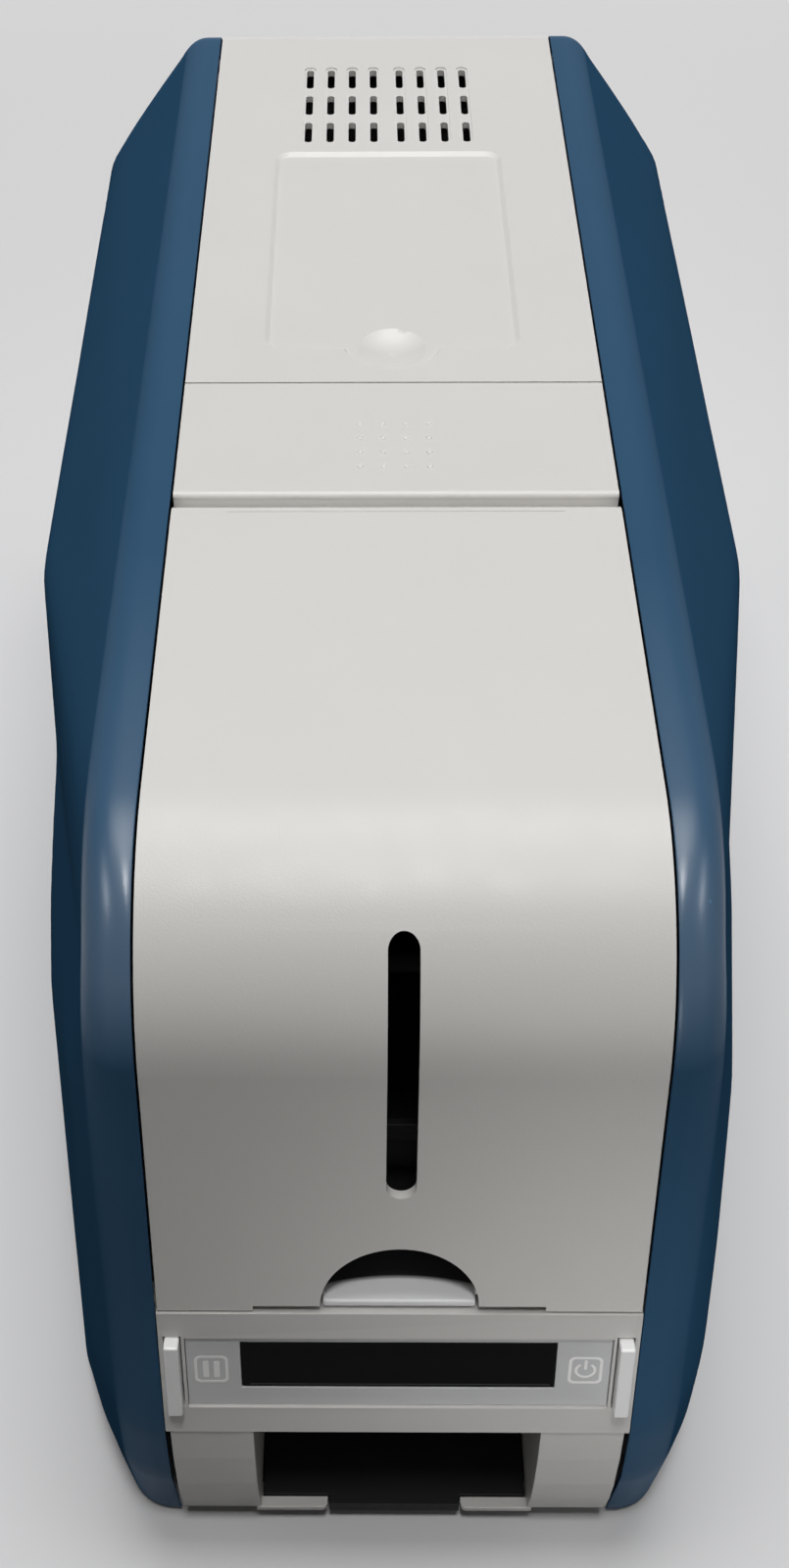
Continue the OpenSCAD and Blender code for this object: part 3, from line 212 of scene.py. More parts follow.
PALE = (0.72, 0.72, 0.73, 1)
WORLD_LIGHT = (0.056, 0.053, 0.05, 1)
world = bpy.data.worlds.new("studio")
scene.world = world
world.use_nodes = True
w_tree = world.node_tree
w_tree.nodes.clear()
w_light = w_tree.nodes.new("ShaderNodeBackground")
w_light.inputs["Color"].default_value = WORLD_LIGHT
w_pale = w_tree.nodes.new("ShaderNodeBackground")
w_pale.inputs["Color"].default_value = PALE
w_mix = w_tree.nodes.new("ShaderNodeMixShader")
w_out = w_tree.nodes.new("ShaderNodeOutputWorld")
w_tree.links.new(pale_ray(w_tree), w_mix.inputs["Fac"])
w_tree.links.new(w_light.outputs[0], w_mix.inputs[1])
w_tree.links.new(w_pale.outputs[0], w_mix.inputs[2])
w_tree.links.new(w_mix.outputs[0], w_out.inputs["Surface"])


# ---------- the material builder ----------

CORE_NOISE = (0.35, 0.65)             # where most values of a noise lie
WIDE_NOISE = (0.3, 0.7)               # and a little more than that
WORN_EDGE = (0.52, 0.62)              # pointiness from a flat face to a sharp convex edge
FACING_AHEAD = (-0.12, -0.9)          # y of the normal, from hardly to fully facing the front, for the painted light on walls that face the front
SPECK_STRENGTH = 0.6
LINE_SOFT = 0.5                       # half the width over which one colour turns into the other
FRONT_GLOSS = 0.1                     # share of the polish that is left below the nose
TOP_GLOSS = 0.12                      # and on the top behind it


class Shader:
    """A Principled material with object-space textures."""

    def __init__(self, name, color, rough, metallic=0.0, specular=0.5, coat=0.0):
        self.material = bpy.data.materials.new(name)
        self.material.use_nodes = True
        self.tree = self.material.node_tree
        self.bsdf = self.tree.nodes["Principled BSDF"]
        self.color = color
        self.bsdf.inputs["Base Color"].default_value = (*color, 1)
        self.bsdf.inputs["Roughness"].default_value = rough
        self.bsdf.inputs["Metallic"].default_value = metallic
        self.bsdf.inputs["Specular IOR Level"].default_value = specular
        self.bsdf.inputs["Coat Weight"].default_value = coat
        self.coord = self.node("ShaderNodeTexCoord").outputs["Object"]
        self.material.diffuse_color = (*color, 1)

    def node(self, kind, **inputs):
        """A new node with some of its inputs set by name."""
        n = self.tree.nodes.new(kind)
        for key, value in inputs.items():
            n.inputs[key].default_value = value
        return n

    def link(self, a, b):
        self.tree.links.new(a, b)

    def noise(self, scale, detail=2.0, stretch=None):
        """A noise of scale features per metre; stretch multiplies that along x, y and z."""
        n = self.node("ShaderNodeTexNoise", Scale=scale, Detail=detail)
        source = self.coord
        if stretch:
            mapping = self.node("ShaderNodeMapping", Scale=stretch)
            self.link(source, mapping.inputs["Vector"])
            source = mapping.outputs["Vector"]
        self.link(source, n.inputs["Vector"])
        return n.outputs["Fac"]

    def remap(self, value, low, high, to_low, to_high):
        """The value with the range from low to high stretched to another one, and held at its ends."""
        n = self.node("ShaderNodeMapRange")
        for key, v in zip(("From Min", "From Max", "To Min", "To Max"), (low, high, to_low, to_high)):
            n.inputs[key].default_value = v
        self.link(value, n.inputs["Value"])
        return n.outputs["Result"]

    def compute(self, operation, *values):
        """A math node over sockets and plain numbers."""
        n = self.node("ShaderNodeMath")
        n.operation = operation
        for socket, value in zip(n.inputs, values):
            if isinstance(value, (int, float)):
                socket.default_value = value
            else:
                self.link(value, socket)
        return n.outputs[0]

    def axes(self):
        """The object-space x, y and z in metres."""
        parts = self.node("ShaderNodeSeparateXYZ")
        self.link(self.coord, parts.inputs[0])
        return parts.outputs

    def tint(self, value, other):
        """Mixes the base colour towards another by value, on top of what is linked so far."""
        n = self.node("ShaderNodeMix")
        n.data_type = "RGBA"
        socket = self.bsdf.inputs["Base Color"]
        if socket.is_linked:
            self.link(socket.links[0].from_socket, n.inputs["A"])
        else:
            n.inputs["A"].default_value = (*self.color, 1)
        n.inputs["B"].default_value = (*other, 1)
        self.link(value, n.inputs["Factor"])
        self.link(n.outputs["Result"], socket)

    def roughness(self, value, low, high):
        """Lets a noise vary the roughness from low to high."""
        self.link(self.remap(value, *CORE_NOISE, low, high), self.bsdf.inputs["Roughness"])

    def bump(self, value, height):
        """Relief of a height in mm."""
        n = self.node("ShaderNodeBump", Strength=1.0, Distance=height * MM)
        self.link(value, n.inputs["Height"])
        self.link(n.outputs["Normal"], self.bsdf.inputs["Normal"])

    def edge_wear(self, other, amount):
        """Another colour on convex edges."""
        geometry = self.node("ShaderNodeNewGeometry")
        self.tint(self.remap(geometry.outputs["Pointiness"], *WORN_EDGE, 0, amount), other)

    def specks(self, spacing, size, other):
        """Small marks of about size (mm) in random places about spacing (mm) apart."""
        cells = self.node("ShaderNodeTexVoronoi", Scale=1 / (spacing * MM))
        self.link(self.coord, cells.inputs["Vector"])
        edge = size / spacing
        self.tint(self.remap(cells.outputs["Distance"], 0.5 * edge, edge, SPECK_STRENGTH, 0), other)

    def painted_shadow_behind(self, y, bow, other):
        """Painted shadow: turns the part behind a bowed line, y - bow * x * x in mm, into the other colour,
        standing in for the shade that falls there.
        """
        x, depth, _ = self.axes()
        bend = self.compute("MULTIPLY", self.compute("MULTIPLY", x, x), bow / MM)
        behind = self.compute("ADD", depth, bend)
        self.tint(self.remap(behind, (y - LINE_SOFT) * MM, (y + LINE_SOFT) * MM, 0, 1), other)

    def painted_light_ahead(self, other):
        """Painted light: a lighter colour where the surface faces the front, such as the rear wall of a
        recess.
        """
        parts = self.node("ShaderNodeSeparateXYZ")
        self.link(self.node("ShaderNodeTexCoord").outputs["Normal"], parts.inputs[0])
        self.tint(self.remap(parts.outputs[1], *FACING_AHEAD, 0, 1), other)

    def polished(self, across, height, specular, rough):
        """Gloss that fades outwards across the width, and below and above the nose (distances in mm)."""
        x, _, z = self.axes()
        near = self.remap(self.compute("ABSOLUTE", x), across[0] * MM, across[1] * MM, 1, 0)
        rising = self.remap(z, height[0] * MM, height[1] * MM, FRONT_GLOSS, 1)
        falling = self.remap(z, height[2] * MM, height[3] * MM, 1, TOP_GLOSS)
        polish = self.compute("MULTIPLY", near, self.compute("MULTIPLY", rising, falling))
        self.link(self.remap(polish, 0, 1, 0, specular), self.bsdf.inputs["Specular IOR Level"])
        self.link(self.remap(polish, 0, 1, *rough), self.bsdf.inputs["Roughness"])

    def fade_out(self, near, far, color):
        """Glows in a colour that takes over between two distances (mm), for the pale rays only."""
        x, y, _ = self.axes()
        squares = (self.compute("MULTIPLY", v, v) for v in (x, y))
        away = self.compute("SQRT", self.compute("ADD", *squares))
        share = self.compute("MULTIPLY", self.remap(away, near * MM, far * MM, 0, 1), pale_ray(self.tree))
        glow = self.node("ShaderNodeEmission", Color=color)
        mix = self.node("ShaderNodeMixShader")
        self.link(share, mix.inputs["Fac"])
        self.link(self.bsdf.outputs[0], mix.inputs[1])
        self.link(glow.outputs[0], mix.inputs[2])
        self.link(mix.outputs[0], self.tree.nodes["Material Output"].inputs["Surface"])


# ---------- kinds of material ----------

GRAIN_GLINT_TOPS = (0.62, 0.8)              # the highest parts of the grain, painted a little lighter as glints
ROUGH_PLAY = 0.025
SOLDER = (0.55, 0.5, 0.4)


def scaled(color, k):
    """The colour made lighter or darker by a factor."""
    return tuple(min(1.0, c * k) for c in color)


def moulded(name, color, rough, grain, grain_height=0.02, specular=0.5, coat=0.0,
            mottle=0.05, wear=0.25):
    """Moulded plastic: spark-eroded grain (its size and height in mm) with painted glints on its tops, slight
    mottling and worn edges.
    """
    m = Shader(name, color, rough, specular=specular, coat=coat)
    spark = m.noise(1 / (grain * MM), 3.0)
    m.tint(m.remap(m.noise(38, 4.0), *WIDE_NOISE, 0, 1), scaled(color, 1 - mottle))
    # painted glints: the grain's highest parts are a little lighter
    m.tint(m.remap(spark, *GRAIN_GLINT_TOPS, 0, 0.35), scaled(color, 1.18))
    m.edge_wear(scaled(color, 1.25), wear)
    m.roughness(m.noise(160, 4.0), rough - ROUGH_PLAY, rough + ROUGH_PLAY)
    m.bump(spark, grain_height)
    return m


def brushed(name, color, rough, direction=(1, 60, 60)):
    """Metal with fine lines along the axis whose stretch is 1."""
    m = Shader(name, color, rough, metallic=1.0)
    lines = m.noise(700, 2.0, direction)
    m.tint(m.remap(lines, *WIDE_NOISE, 0, 0.35), scaled(color, 0.75))
    m.roughness(lines, rough - 0.08, rough + 0.1)
    m.bump(lines, 0.006)
    return m


def rubbery(name, color):
    """Dull rubber with dusty patches."""
    m = Shader(name, color, 0.75, specular=0.35)
    grain = m.noise(2600, 3.0)
    m.tint(m.remap(m.noise(90, 4.0), 0.4, 0.75, 0, 0.5), scaled(color, 2.2))
    m.bump(grain, 0.02)
    m.roughness(grain, 0.68, 0.86)
    return m


def board(name, color):
    """Circuit board: lacquer with raised traces and specks of solder."""
    m = Shader(name, color, 0.35, coat=0.2)
    along_y = (1, 0.15, 1)
    m.tint(m.remap(m.noise(420, 1.0, along_y), 0.52, 0.56, 0, 0.8), scaled(color, 1.7))
    m.tint(m.remap(m.noise(900, 1.0), 0.68, 0.7, 0, 0.8), SOLDER)
    m.roughness(m.noise(300), 0.3, 0.45)
    m.bump(m.noise(420, 1.0, along_y), 0.03)
    return m


def glassy(name, color):
    """Dark glass with faint smears."""
    m = Shader(name, color, 0.12, specular=0.03)
    m.roughness(m.noise(260, 5.0), 0.08, 0.2)
    m.tint(m.remap(m.noise(120, 6.0), 0.6, 0.8, 0, 0.25), scaled(color, 2.0))
    return m


# ---------- the materials ----------

STRIP = (0.665, 0.655, 0.63)
LID_COLOR = (0.7, 0.69, 0.67)
BEZEL = (0.6, 0.59, 0.57)
OVERLAY = (0.6, 0.605, 0.61)
BUTTON = (0.95, 0.95, 0.95)
HOPPER_LIP = (0.93, 0.93, 0.94)
BLUE = (0.026, 0.082, 0.158)
BLACK = (0.006, 0.006, 0.0065)
GREY = (0.06, 0.063, 0.066)
STRIP_FINISH = {"grain": 0.42, "grain_height": 0.03, "specular": 0.4, "mottle": 0.02}
SATIN = {"coat": 0.15, "mottle": 0.03}
GLOSSY = {"coat": 0.2, "mottle": 0.03}
LIP_SHADOW_Y = -177.3                        # the painted shadow on the hopper floor's pale lip starts here, in the middle
LIP_SHADOW_BOW = 0.0083                      # and further forwards at the sides, by this times x * x

LIB = {
    "strip_plastic": moulded("strip_plastic", STRIP, 0.38, **STRIP_FINISH),
    "shell_plastic": moulded("shell_plastic", BLUE, 0.36, grain=0.5, grain_height=0.012, wear=0.1),
    "bezel_plastic": moulded("bezel_plastic", BEZEL, 0.34, grain=0.5, grain_height=0.006, **SATIN),
    "overlay_film": moulded("overlay_film", OVERLAY, 0.38, grain=0.3, grain_height=0.01, coat=0.2),
    "button_plastic": moulded("button_plastic", BUTTON, 0.3, grain=0.6, grain_height=0.004, **GLOSSY),
    "dark_plastic": moulded("dark_plastic", BLACK, 0.6, grain=0.5, specular=0.2),
    "grey_plastic": moulded("grey_plastic", GREY, 0.55, grain=0.5, specular=0.3),
    "steel": brushed("steel", (0.55, 0.56, 0.57), 0.36),
    "aluminium": brushed("aluminium", (0.72, 0.73, 0.74), 0.34),
    "motor_metal": brushed("motor_metal", (0.2, 0.2, 0.21), 0.45),
    "bronze": brushed("bronze", (0.55, 0.38, 0.2), 0.38),
    "rubber": rubbery("rubber", (0.018, 0.018, 0.018)),
    "cleaning_rubber": rubbery("cleaning_rubber", (0.04, 0.14, 0.38)),
    "gear_plastic": moulded("gear_plastic", (0.72, 0.67, 0.56), 0.4, grain=0.5, grain_height=0.006),
    "circuit_board": board("circuit_board", (0.02, 0.13, 0.05)),
    "display_glass": glassy("display_glass", (0.004, 0.004, 0.0045)),
    "ceramic": moulded("ceramic", (0.68, 0.58, 0.42), 0.45, grain=0.4, grain_height=0.01),
    "ribbon_film": moulded("ribbon_film", (0.06, 0.035, 0.03), 0.25, grain=0.6, grain_height=0.004, coat=0.3),
}
LIB["shell_plastic"].polished(across=(53, 59), height=(144, 160, 170, 184), specular=0.8, rough=(0.5, 0.28))
LIB["shell_plastic"].specks(spacing=31, size=0.5, other=scaled(BLUE, 2.6))
LIB["strip_plastic"].specks(spacing=37, size=0.35, other=scaled(STRIP, 0.3))
INK = moulded("symbol_ink", (1.0, 1.0, 0.98), 0.5, grain=0.4, grain_height=0.004)
SCREW = brushed("screw_steel", (0.5, 0.5, 0.51), 0.3, direction=(60, 60, 1))

# Nodes that don't take the plain material of their slot
SPECIAL = {"hopper_floor": moulded("hopper_floor_plastic", HOPPER_LIP, 0.46, **STRIP_FINISH)}
# painted shadow: the hopper floor turns black behind the bowed edge of the shade that the cover's notch casts
# on it
SPECIAL["hopper_floor"].painted_shadow_behind(LIP_SHADOW_Y, LIP_SHADOW_BOW, BLACK)
for node_name in ("top_lid", "latch_button"):
    SPECIAL[node_name] = moulded(node_name + "_plastic", LID_COLOR, 0.38, **STRIP_FINISH, wear=0.0)
    # painted light: the lid's and the latch's walls that face the front get a lighter copy of their colour
    SPECIAL[node_name].painted_light_ahead(scaled(LID_COLOR, 1.42))


# ---------- softened edges on the CAD nodes ----------

CAD_NORMAL = "cad_normal"
NORMAL_FIT = math.radians(9)          # an imported normal is kept where it is this close to the face's own
WELD_GAP = 0.004                      # corners closer than this are taken as one
FLAT_ANGLE = math.radians(0.4)
SHARP_ANGLE = math.radians(32)
BEVEL_SEGMENTS = 2
# Nodes with large faces that shade unevenly once their triangles are merged
KEEP_TRIANGLES = ("hopper_cover", "top_lid", "latch_button")
BEVELS = {
    "hopper_cover": 0.2, "top_lid": 0.12, "latch_button": 0.15, "control_bezel": 0.35,
    "display_overlay": 0.12, "lcd_glass": 0.1, "pause_button": 0.4, "power_button": 0.4,
    "output_hopper": 0.7, "output_tray": 0.3, "rear_panel": 0.3, "hopper_floor": 0.5, "input_hopper": 0.3,
    "rubber_feet": 0.3, "base_pan": 0.3, "lid_frame": 0.3, "hinge_bridge": 0.3, "print_head": 0.2,
    "head_bracket": 0.2, "card_guide": 0.3, "output_chute": 0.3, "feed_motor": 0.6, "fan_housing": 0.4,
    "power_inlet": 0.2, "usb_port": 0.2, "network_port": 0.2, "latch_hooks": 0.3, "card_gate": 0.2,
}


def geometry_group(name, build):
    """A geometry node group whose steps build(nodes, link, geometry) adds between input and output."""
    group = bpy.data.node_groups.new(name, "GeometryNodeTree")
    group.interface.new_socket("Geometry", in_out="INPUT", socket_type="NodeSocketGeometry")
    group.interface.new_socket("Geometry", in_out="OUTPUT", socket_type="NodeSocketGeometry")
    start = group.nodes.new("NodeGroupInput")
    end = group.nodes.new("NodeGroupOutput")
    group.links.new(build(group.nodes, group.links.new, start.outputs[0]), end.inputs[0])
    return group


def store_normals(tree_nodes, link, geometry):
    """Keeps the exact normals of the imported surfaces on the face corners."""
    store = tree_nodes.new("GeometryNodeStoreNamedAttribute")
    store.data_type = "FLOAT_VECTOR"
    store.domain = "CORNER"
    store.inputs["Name"].default_value = CAD_NORMAL
    link(geometry, store.inputs["Geometry"])
    link(tree_nodes.new("GeometryNodeInputNormal").outputs["Normal"], store.inputs["Value"])
    return store.outputs["Geometry"]


def restore_normals(tree_nodes, link, geometry):
    """Puts the kept normals back where they still fit the face; new bevel faces keep their own."""
    kept = tree_nodes.new("GeometryNodeInputNamedAttribute")
    kept.data_type = "FLOAT_VECTOR"
    kept.inputs["Name"].default_value = CAD_NORMAL
    own = tree_nodes.new("GeometryNodeInputNormal").outputs["True Normal"]
    dot = tree_nodes.new("ShaderNodeVectorMath")
    dot.operation = "DOT_PRODUCT"
    link(kept.outputs["Attribute"], dot.inputs[0])
    link(own, dot.inputs[1])
    fits = tree_nodes.new("FunctionNodeCompare")
    fits.data_type = "FLOAT"
    fits.operation = "GREATER_THAN"
    link(dot.outputs["Value"], fits.inputs[0])
    fits.inputs[1].default_value = math.cos(NORMAL_FIT)
    choose = tree_nodes.new("GeometryNodeSwitch")
    choose.input_type = "VECTOR"
    link(fits.outputs[0], choose.inputs["Switch"])
    link(own, choose.inputs["False"])
    link(kept.outputs["Attribute"], choose.inputs["True"])
    custom = tree_nodes.new("GeometryNodeSetMeshNormal")
    custom.mode = "FREE"
    custom.domain = "CORNER"
    link(geometry, custom.inputs["Mesh"])
    link(choose.outputs[0], custom.inputs["Custom Normal"])
    return custom.outputs["Mesh"]


KEEP = geometry_group("keep_cad_normals", store_normals)
RESTORE = geometry_group("restore_cad_normals", restore_normals)


def add_group(obj, name, group):
    """Adds a geometry node group to an object as a modifier."""
    modifier = obj.modifiers.new(name, "NODES")
    modifier.node_group = group


def soften(obj, width, merge_flat):
    """Rounds a CAD node's sharp edges with modifiers only, and merges its flat triangles if asked."""
    add_group(obj, "keep_normals", KEEP)
    weld = obj.modifiers.new("weld", "WELD")
    weld.merge_threshold = WELD_GAP * MM
    if merge_flat:
        flat = obj.modifiers.new("flat", "DECIMATE")
        flat.decimate_type = "DISSOLVE"
        flat.angle_limit = FLAT_ANGLE
    bevel = obj.modifiers.new("soft_edges", "BEVEL")
    bevel.width = width * MM
    bevel.segments = BEVEL_SEGMENTS
    bevel.limit_method = "ANGLE"
    bevel.angle_limit = SHARP_ANGLE
    bevel.miter_outer = "MITER_ARC"
    add_group(obj, "restore_normals", RESTORE)


for node_name, obj in nodes.items():
    obj.data.materials.clear()
    obj.data.materials.append(SPECIAL.get(node_name, LIB[slot_of[node_name]]).material)
    if node_name in BEVELS:
        soften(obj, BEVELS[node_name], merge_flat=node_name not in KEEP_TRIANGLES)


# ---------- tools for pieces made in mesh code ----------

CORNER_STEPS = 6
BAND_STEPS = 28


def new_piece(name, bm, body, shader, matrix=Matrix.Identity(4), closed=True):
    """Turns a bmesh in mm, in a local frame, into a piece that rides on a body."""
    if closed:
        bmesh.ops.recalc_face_normals(bm, faces=bm.faces)
    bm.transform(matrix @ Matrix.Scale(MM, 4))
    mesh = bpy.data.meshes.new(name)
    bm.to_mesh(mesh)
    bm.free()
    obj = bpy.data.objects.new(name, mesh)
    scene.collection.objects.link(obj)
    mesh.materials.append(shader.material)
    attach(obj, body)
    return obj


def plate(bm, loops, z0, z1):
    """Fills closed outlines (the later ones are holes) and gives the sheet a thickness."""
    edges = []
    for loop in loops:
        verts = [bm.verts.new((x, y, z0)) for x, y in loop]
        edges += [bm.edges.new((verts[i], verts[(i + 1) % len(verts)])) for i in range(len(verts))]
    made = bmesh.ops.triangle_fill(bm, use_beauty=True, use_dissolve=False, edges=edges)
    faces = [g for g in made["geom"] if isinstance(g, bmesh.types.BMFace)]
    solid = bmesh.ops.extrude_face_region(bm, geom=faces)
    top = [g for g in solid["geom"] if isinstance(g, bmesh.types.BMVert)]
    bmesh.ops.translate(bm, verts=top, vec=(0, 0, z1 - z0))


def arc(centre, r, a0, a1, steps):
    """Points of an arc, its angles in degrees from the first axis towards the second."""
    angles = [math.radians(a0 + (a1 - a0) * i / steps) for i in range(steps + 1)]
    return [(centre[0] + r * math.cos(a), centre[1] + r * math.sin(a)) for a in angles]


def rounded(w, h, r, at=(0, 0)):
    """Outline of a rectangle with rounded corners."""
    points = []
    for k, (sx, sy) in enumerate(((1, 1), (-1, 1), (-1, -1), (1, -1))):
        corner = (at[0] + sx * (w / 2 - r), at[1] + sy * (h / 2 - r))
        points += arc(corner, r, 90 * k, 90 * (k + 1), CORNER_STEPS)
    return points


def arc_band(r_out, r_in, a0, a1):
    """Outline of a part of a ring."""
    outer, inner = (arc((0, 0), r, a0, a1, BAND_STEPS) for r in (r_out, r_in))
    return outer + inner[::-1]


# ---------- side shells ----------

BAND_W = 7.7                          # the flat band beside the strip
BAND_X = SHELL_IN + BAND_W
RIDGE_Z = BODY_H - 40                 # height of the flare's upper ridge at the rear
KNEE_Z = FOOT_Z + 28                  # height at which the front is foremost
TOE_SET = 6                           # how far behind that the toe is
REAR_SOFT = 2                         # the flare's side views end this far inside the rear plane
SHELL_T = 2.3
CREASE_X = (4.0, 6.9)                 # width of the crease's rounding, on the top and on the nose
CREASE_D = (3.6, 6.0)                 # and its depth
CREASE_TILT = (8, 43)                 # slopes of the outline, in degrees, between which the crease widens
SOFTEN = 6.0                          # radius over which the flare's ridges are blended
SOFTEN_SHARE = 0.9                    # but never more than this share of the depth below the outline
RINGS = (0.25, 0.5, 0.75, 1.0)        # of the disc that blends them, as shares of its radius
RING_POINTS = 20
RING_FALL = 1.2                       # rings weigh less towards the disc's rim
FACING_OUT = 0.02                     # least x of the normal of a plane that counts as outer
# Side views of the flare's ridges, as (behind the front, above the casing's bottom)
SHOULDER = ((177, 142), (174, 123), (170, 108), (162, 96))
SKIRT_EDGE = ((167, 98), (143, 84), (129, 74), (115, 58), (108, 28), (99, 0))
MID_EDGE = ((69, 78), (61, 58), (53, 36), (43.4, 0))
FORE_EDGE = ((35, 121), (28, 103), (21, 84), (14, 57), (14, 28), (20.5, 0))
MID_X = HALF_W - 11.25
FORE_X = HALF_W - 21.25

OUTLINE_STEP = 4.0
NOSE_STEPS = 30
LID_STEPS = 12
SKIN_X = SHELL_IN - 0.12              # the skin starts just past the solid shell, towards the strip
SKIN_ROLL = ((0.0, 0.3), (0.08, 0.08), (0.25, 0.0))   # its rolled edge, as (out, below the outline)
CREASE_COLUMNS = 9
FLARE_COLUMNS = 60
FLARE_CROWD = 1.25                    # how much the flare's columns crowd towards the crease
SPINE_Y = (-110, 130)                 # the line on the casing's bottom where the columns end


def side_outline():
    """The body's side view as (y, z) from the toe over the nose and the lid to the rear foot."""
    top_deg, front_deg, rear_deg = (math.degrees(a) for a in (TOP_SLOPE, FRONT_LEAN, REAR_LEAN))
    nose_t = NOSE_R * math.tan(math.radians(90 - top_deg - front_deg) / 2)
    lid_t = LID_R * math.tan(math.radians(90 + top_deg - rear_deg) / 2)
    top_l = (REAR_Y - REAR_SET - corner_y) / math.cos(TOP_SLOPE)
    nose = arc(top_point(nose_t, NOSE_R), NOSE_R, 180 - front_deg, 90 + top_deg, NOSE_STEPS)
    lid_edge = arc(top_point(top_l - lid_t, LID_R), LID_R, 90 + top_deg, rear_deg, LID_STEPS)
    front = [(FRONT_Y + TOE_SET, FOOT_Z), (FRONT_Y, KNEE_Z), front_point(PANEL_END)]
    return front + nose + lid_edge + [(REAR_Y, FOOT_Z)]


def resample(points, step):
    """Adds points so that no stretch of the line is much longer than step."""
    line = [points[0]]
    for a, b in zip(points, points[1:]):
        count = max(1, round(math.dist(a, b) / step))
        shares = (i / count for i in range(1, count + 1))
        line += [(a[0] + (b[0] - a[0]) * t, a[1] + (b[1] - a[1]) * t) for t in shares]
    return line


def flare(edge, x, rear_z=None):
    """A side view of the flare at x, closed at the rear from rear_z (or its first height) to its last."""
    line = [(x, FRONT_Y + y, FOOT_Z + z) for y, z in edge]
    heights = (line[0][2] if rear_z is None else rear_z, line[-1][2])
    return line + [(x, rear_y_at(z, REAR_SOFT), z) for z in heights]


def hull_planes(points):
    """The planes (nx, ny, nz, offset) on the outer side of the points' convex hull."""
    bm = bmesh.new()
    for p in points:
        bm.verts.new(p)
    bmesh.ops.convex_hull(bm, input=bm.verts)
    middle = sum((Vector(p) for p in points), Vector()) / len(points)
    planes = []
    for face in bm.faces:
        normal = face.normal.copy()
        if normal.dot(face.verts[0].co - middle) < 0:
            normal.negate()
        if normal.x > FACING_OUT:
            planes.append((*normal, normal.dot(face.verts[0].co)))
    bm.free()
    return np.array(planes)


outline = side_outline()
band = [(BAND_X, y, z) for y, z in outline]
UPPER_PLANES = hull_planes(band + flare(SHOULDER, HALF_W, rear_z=RIDGE_Z))
skirt = flare(FORE_EDGE, FORE_X) + flare(MID_EDGE, MID_X) + flare(SKIRT_EDGE, HALF_W)
LOWER_PLANES = hull_planes(band + skirt)


def flare_x(y, z):
    """How far out the two flares reach over side-view points (arrays)."""
    reach = []
    for planes in (UPPER_PLANES, LOWER_PLANES):
        nx, ny, nz, offset = planes.T
        reach.append(np.min((offset - np.multiply.outer(y, ny) - np.multiply.outer(z, nz)) / nx, axis=-1))
    return np.clip(np.maximum(*reach), BAND_X, HALF_W)


def soft_flare_x(y, z, depth):
    """flare_x averaged over a disc, which is narrower close to the outline."""
    radius = np.minimum(SOFTEN, depth * SOFTEN_SHARE)
    total, weight = flare_x(y, z), 1.0
    for ring in RINGS:
        share = ring * (RING_FALL - ring ** 2)
        for k in range(RING_POINTS):
            a = 2 * math.pi * (k + ring) / RING_POINTS
            dy, dz = ring * radius * math.cos(a), ring * radius * math.sin(a)
            total = total + share * flare_x(y + dy, z + dz)
            weight += share
    return total / weight


def shell_columns():
    """Columns of the right skin's points, from its edge at the strip over the crease to the spine."""
    line = np.array(resample(outline, OUTLINE_STEP))
    ahead = np.gradient(line, axis=0)
    inward = np.stack((ahead[:, 1], -ahead[:, 0]), axis=1)
    inward /= np.linalg.norm(inward, axis=1)[:, None]
    inward[0], inward[-1] = (1, 0), (-1, 0)

    tilt = np.degrees(np.arctan2(ahead[:, 1], ahead[:, 0]))
    soft = np.clip((tilt - CREASE_TILT[0]) / (CREASE_TILT[1] - CREASE_TILT[0]), 0, 1)
    soft = soft * soft * (3 - 2 * soft)
    crease_x, crease_d = (a + (b - a) * soft for a, b in (CREASE_X, CREASE_D))
    columns = [np.column_stack((np.full(len(line), SKIN_X + out), line + inward * d)) for out, d in SKIN_ROLL]

    start = line + inward * crease_d[:, None]
    start_x = soft_flare_x(start[:, 0], start[:, 1], crease_d)
    for t in np.linspace(0, 1, CREASE_COLUMNS):
        x = (1 - t) ** 2 * (BAND_X - crease_x) + 2 * t * (1 - t) * BAND_X + t * t * start_x
        columns.append(np.column_stack((x, line + inward * crease_d[:, None] * t * t)))

    spine_y = SPINE_Y[0] + (SPINE_Y[1] - SPINE_Y[0]) * np.linspace(0, 1, len(line))
    spine = np.stack((spine_y, np.full(len(line), FOOT_Z)), axis=1)
    for i in range(1, FLARE_COLUMNS + 1):
        at = start + (spine - start) * (i / FLARE_COLUMNS) ** FLARE_CROWD
        depth = crease_d + np.linalg.norm(at - start, axis=1)
        depth[0] = depth[-1] = CREASE_D[0]    # the toe and the rear foot keep a narrow blend
        columns.append(np.column_stack((soft_flare_x(at[:, 0], at[:, 1], depth), at)))
    return columns


SHELL_COLUMNS = shell_columns()


def shell(name, side, solid):
    """One side shell: a band beside the strip, a rounded crease and the softened flare."""
    bm = bmesh.new()
    grid = [[bm.verts.new((side * p[0], p[1], p[2])) for p in column] for column in SHELL_COLUMNS]
    for near, far in zip(grid, grid[1:]):
        for k in range(len(near) - 1):
            corners = (near[k], near[k + 1], far[k + 1], far[k])
            bm.faces.new(corners[::-side]).smooth = True
    obj = new_piece(name, bm, "casing", LIB["shell_plastic"], closed=False)
    wall = obj.modifiers.new("wall", "SOLIDIFY")
    wall.thickness = SHELL_T * MM
    wall.offset = -1.0
    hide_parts(solid)


shell("shell_skin_right", 1, "shell_right")
shell("shell_skin_left", -1, "shell_left")


# ---------- symbols and display ----------

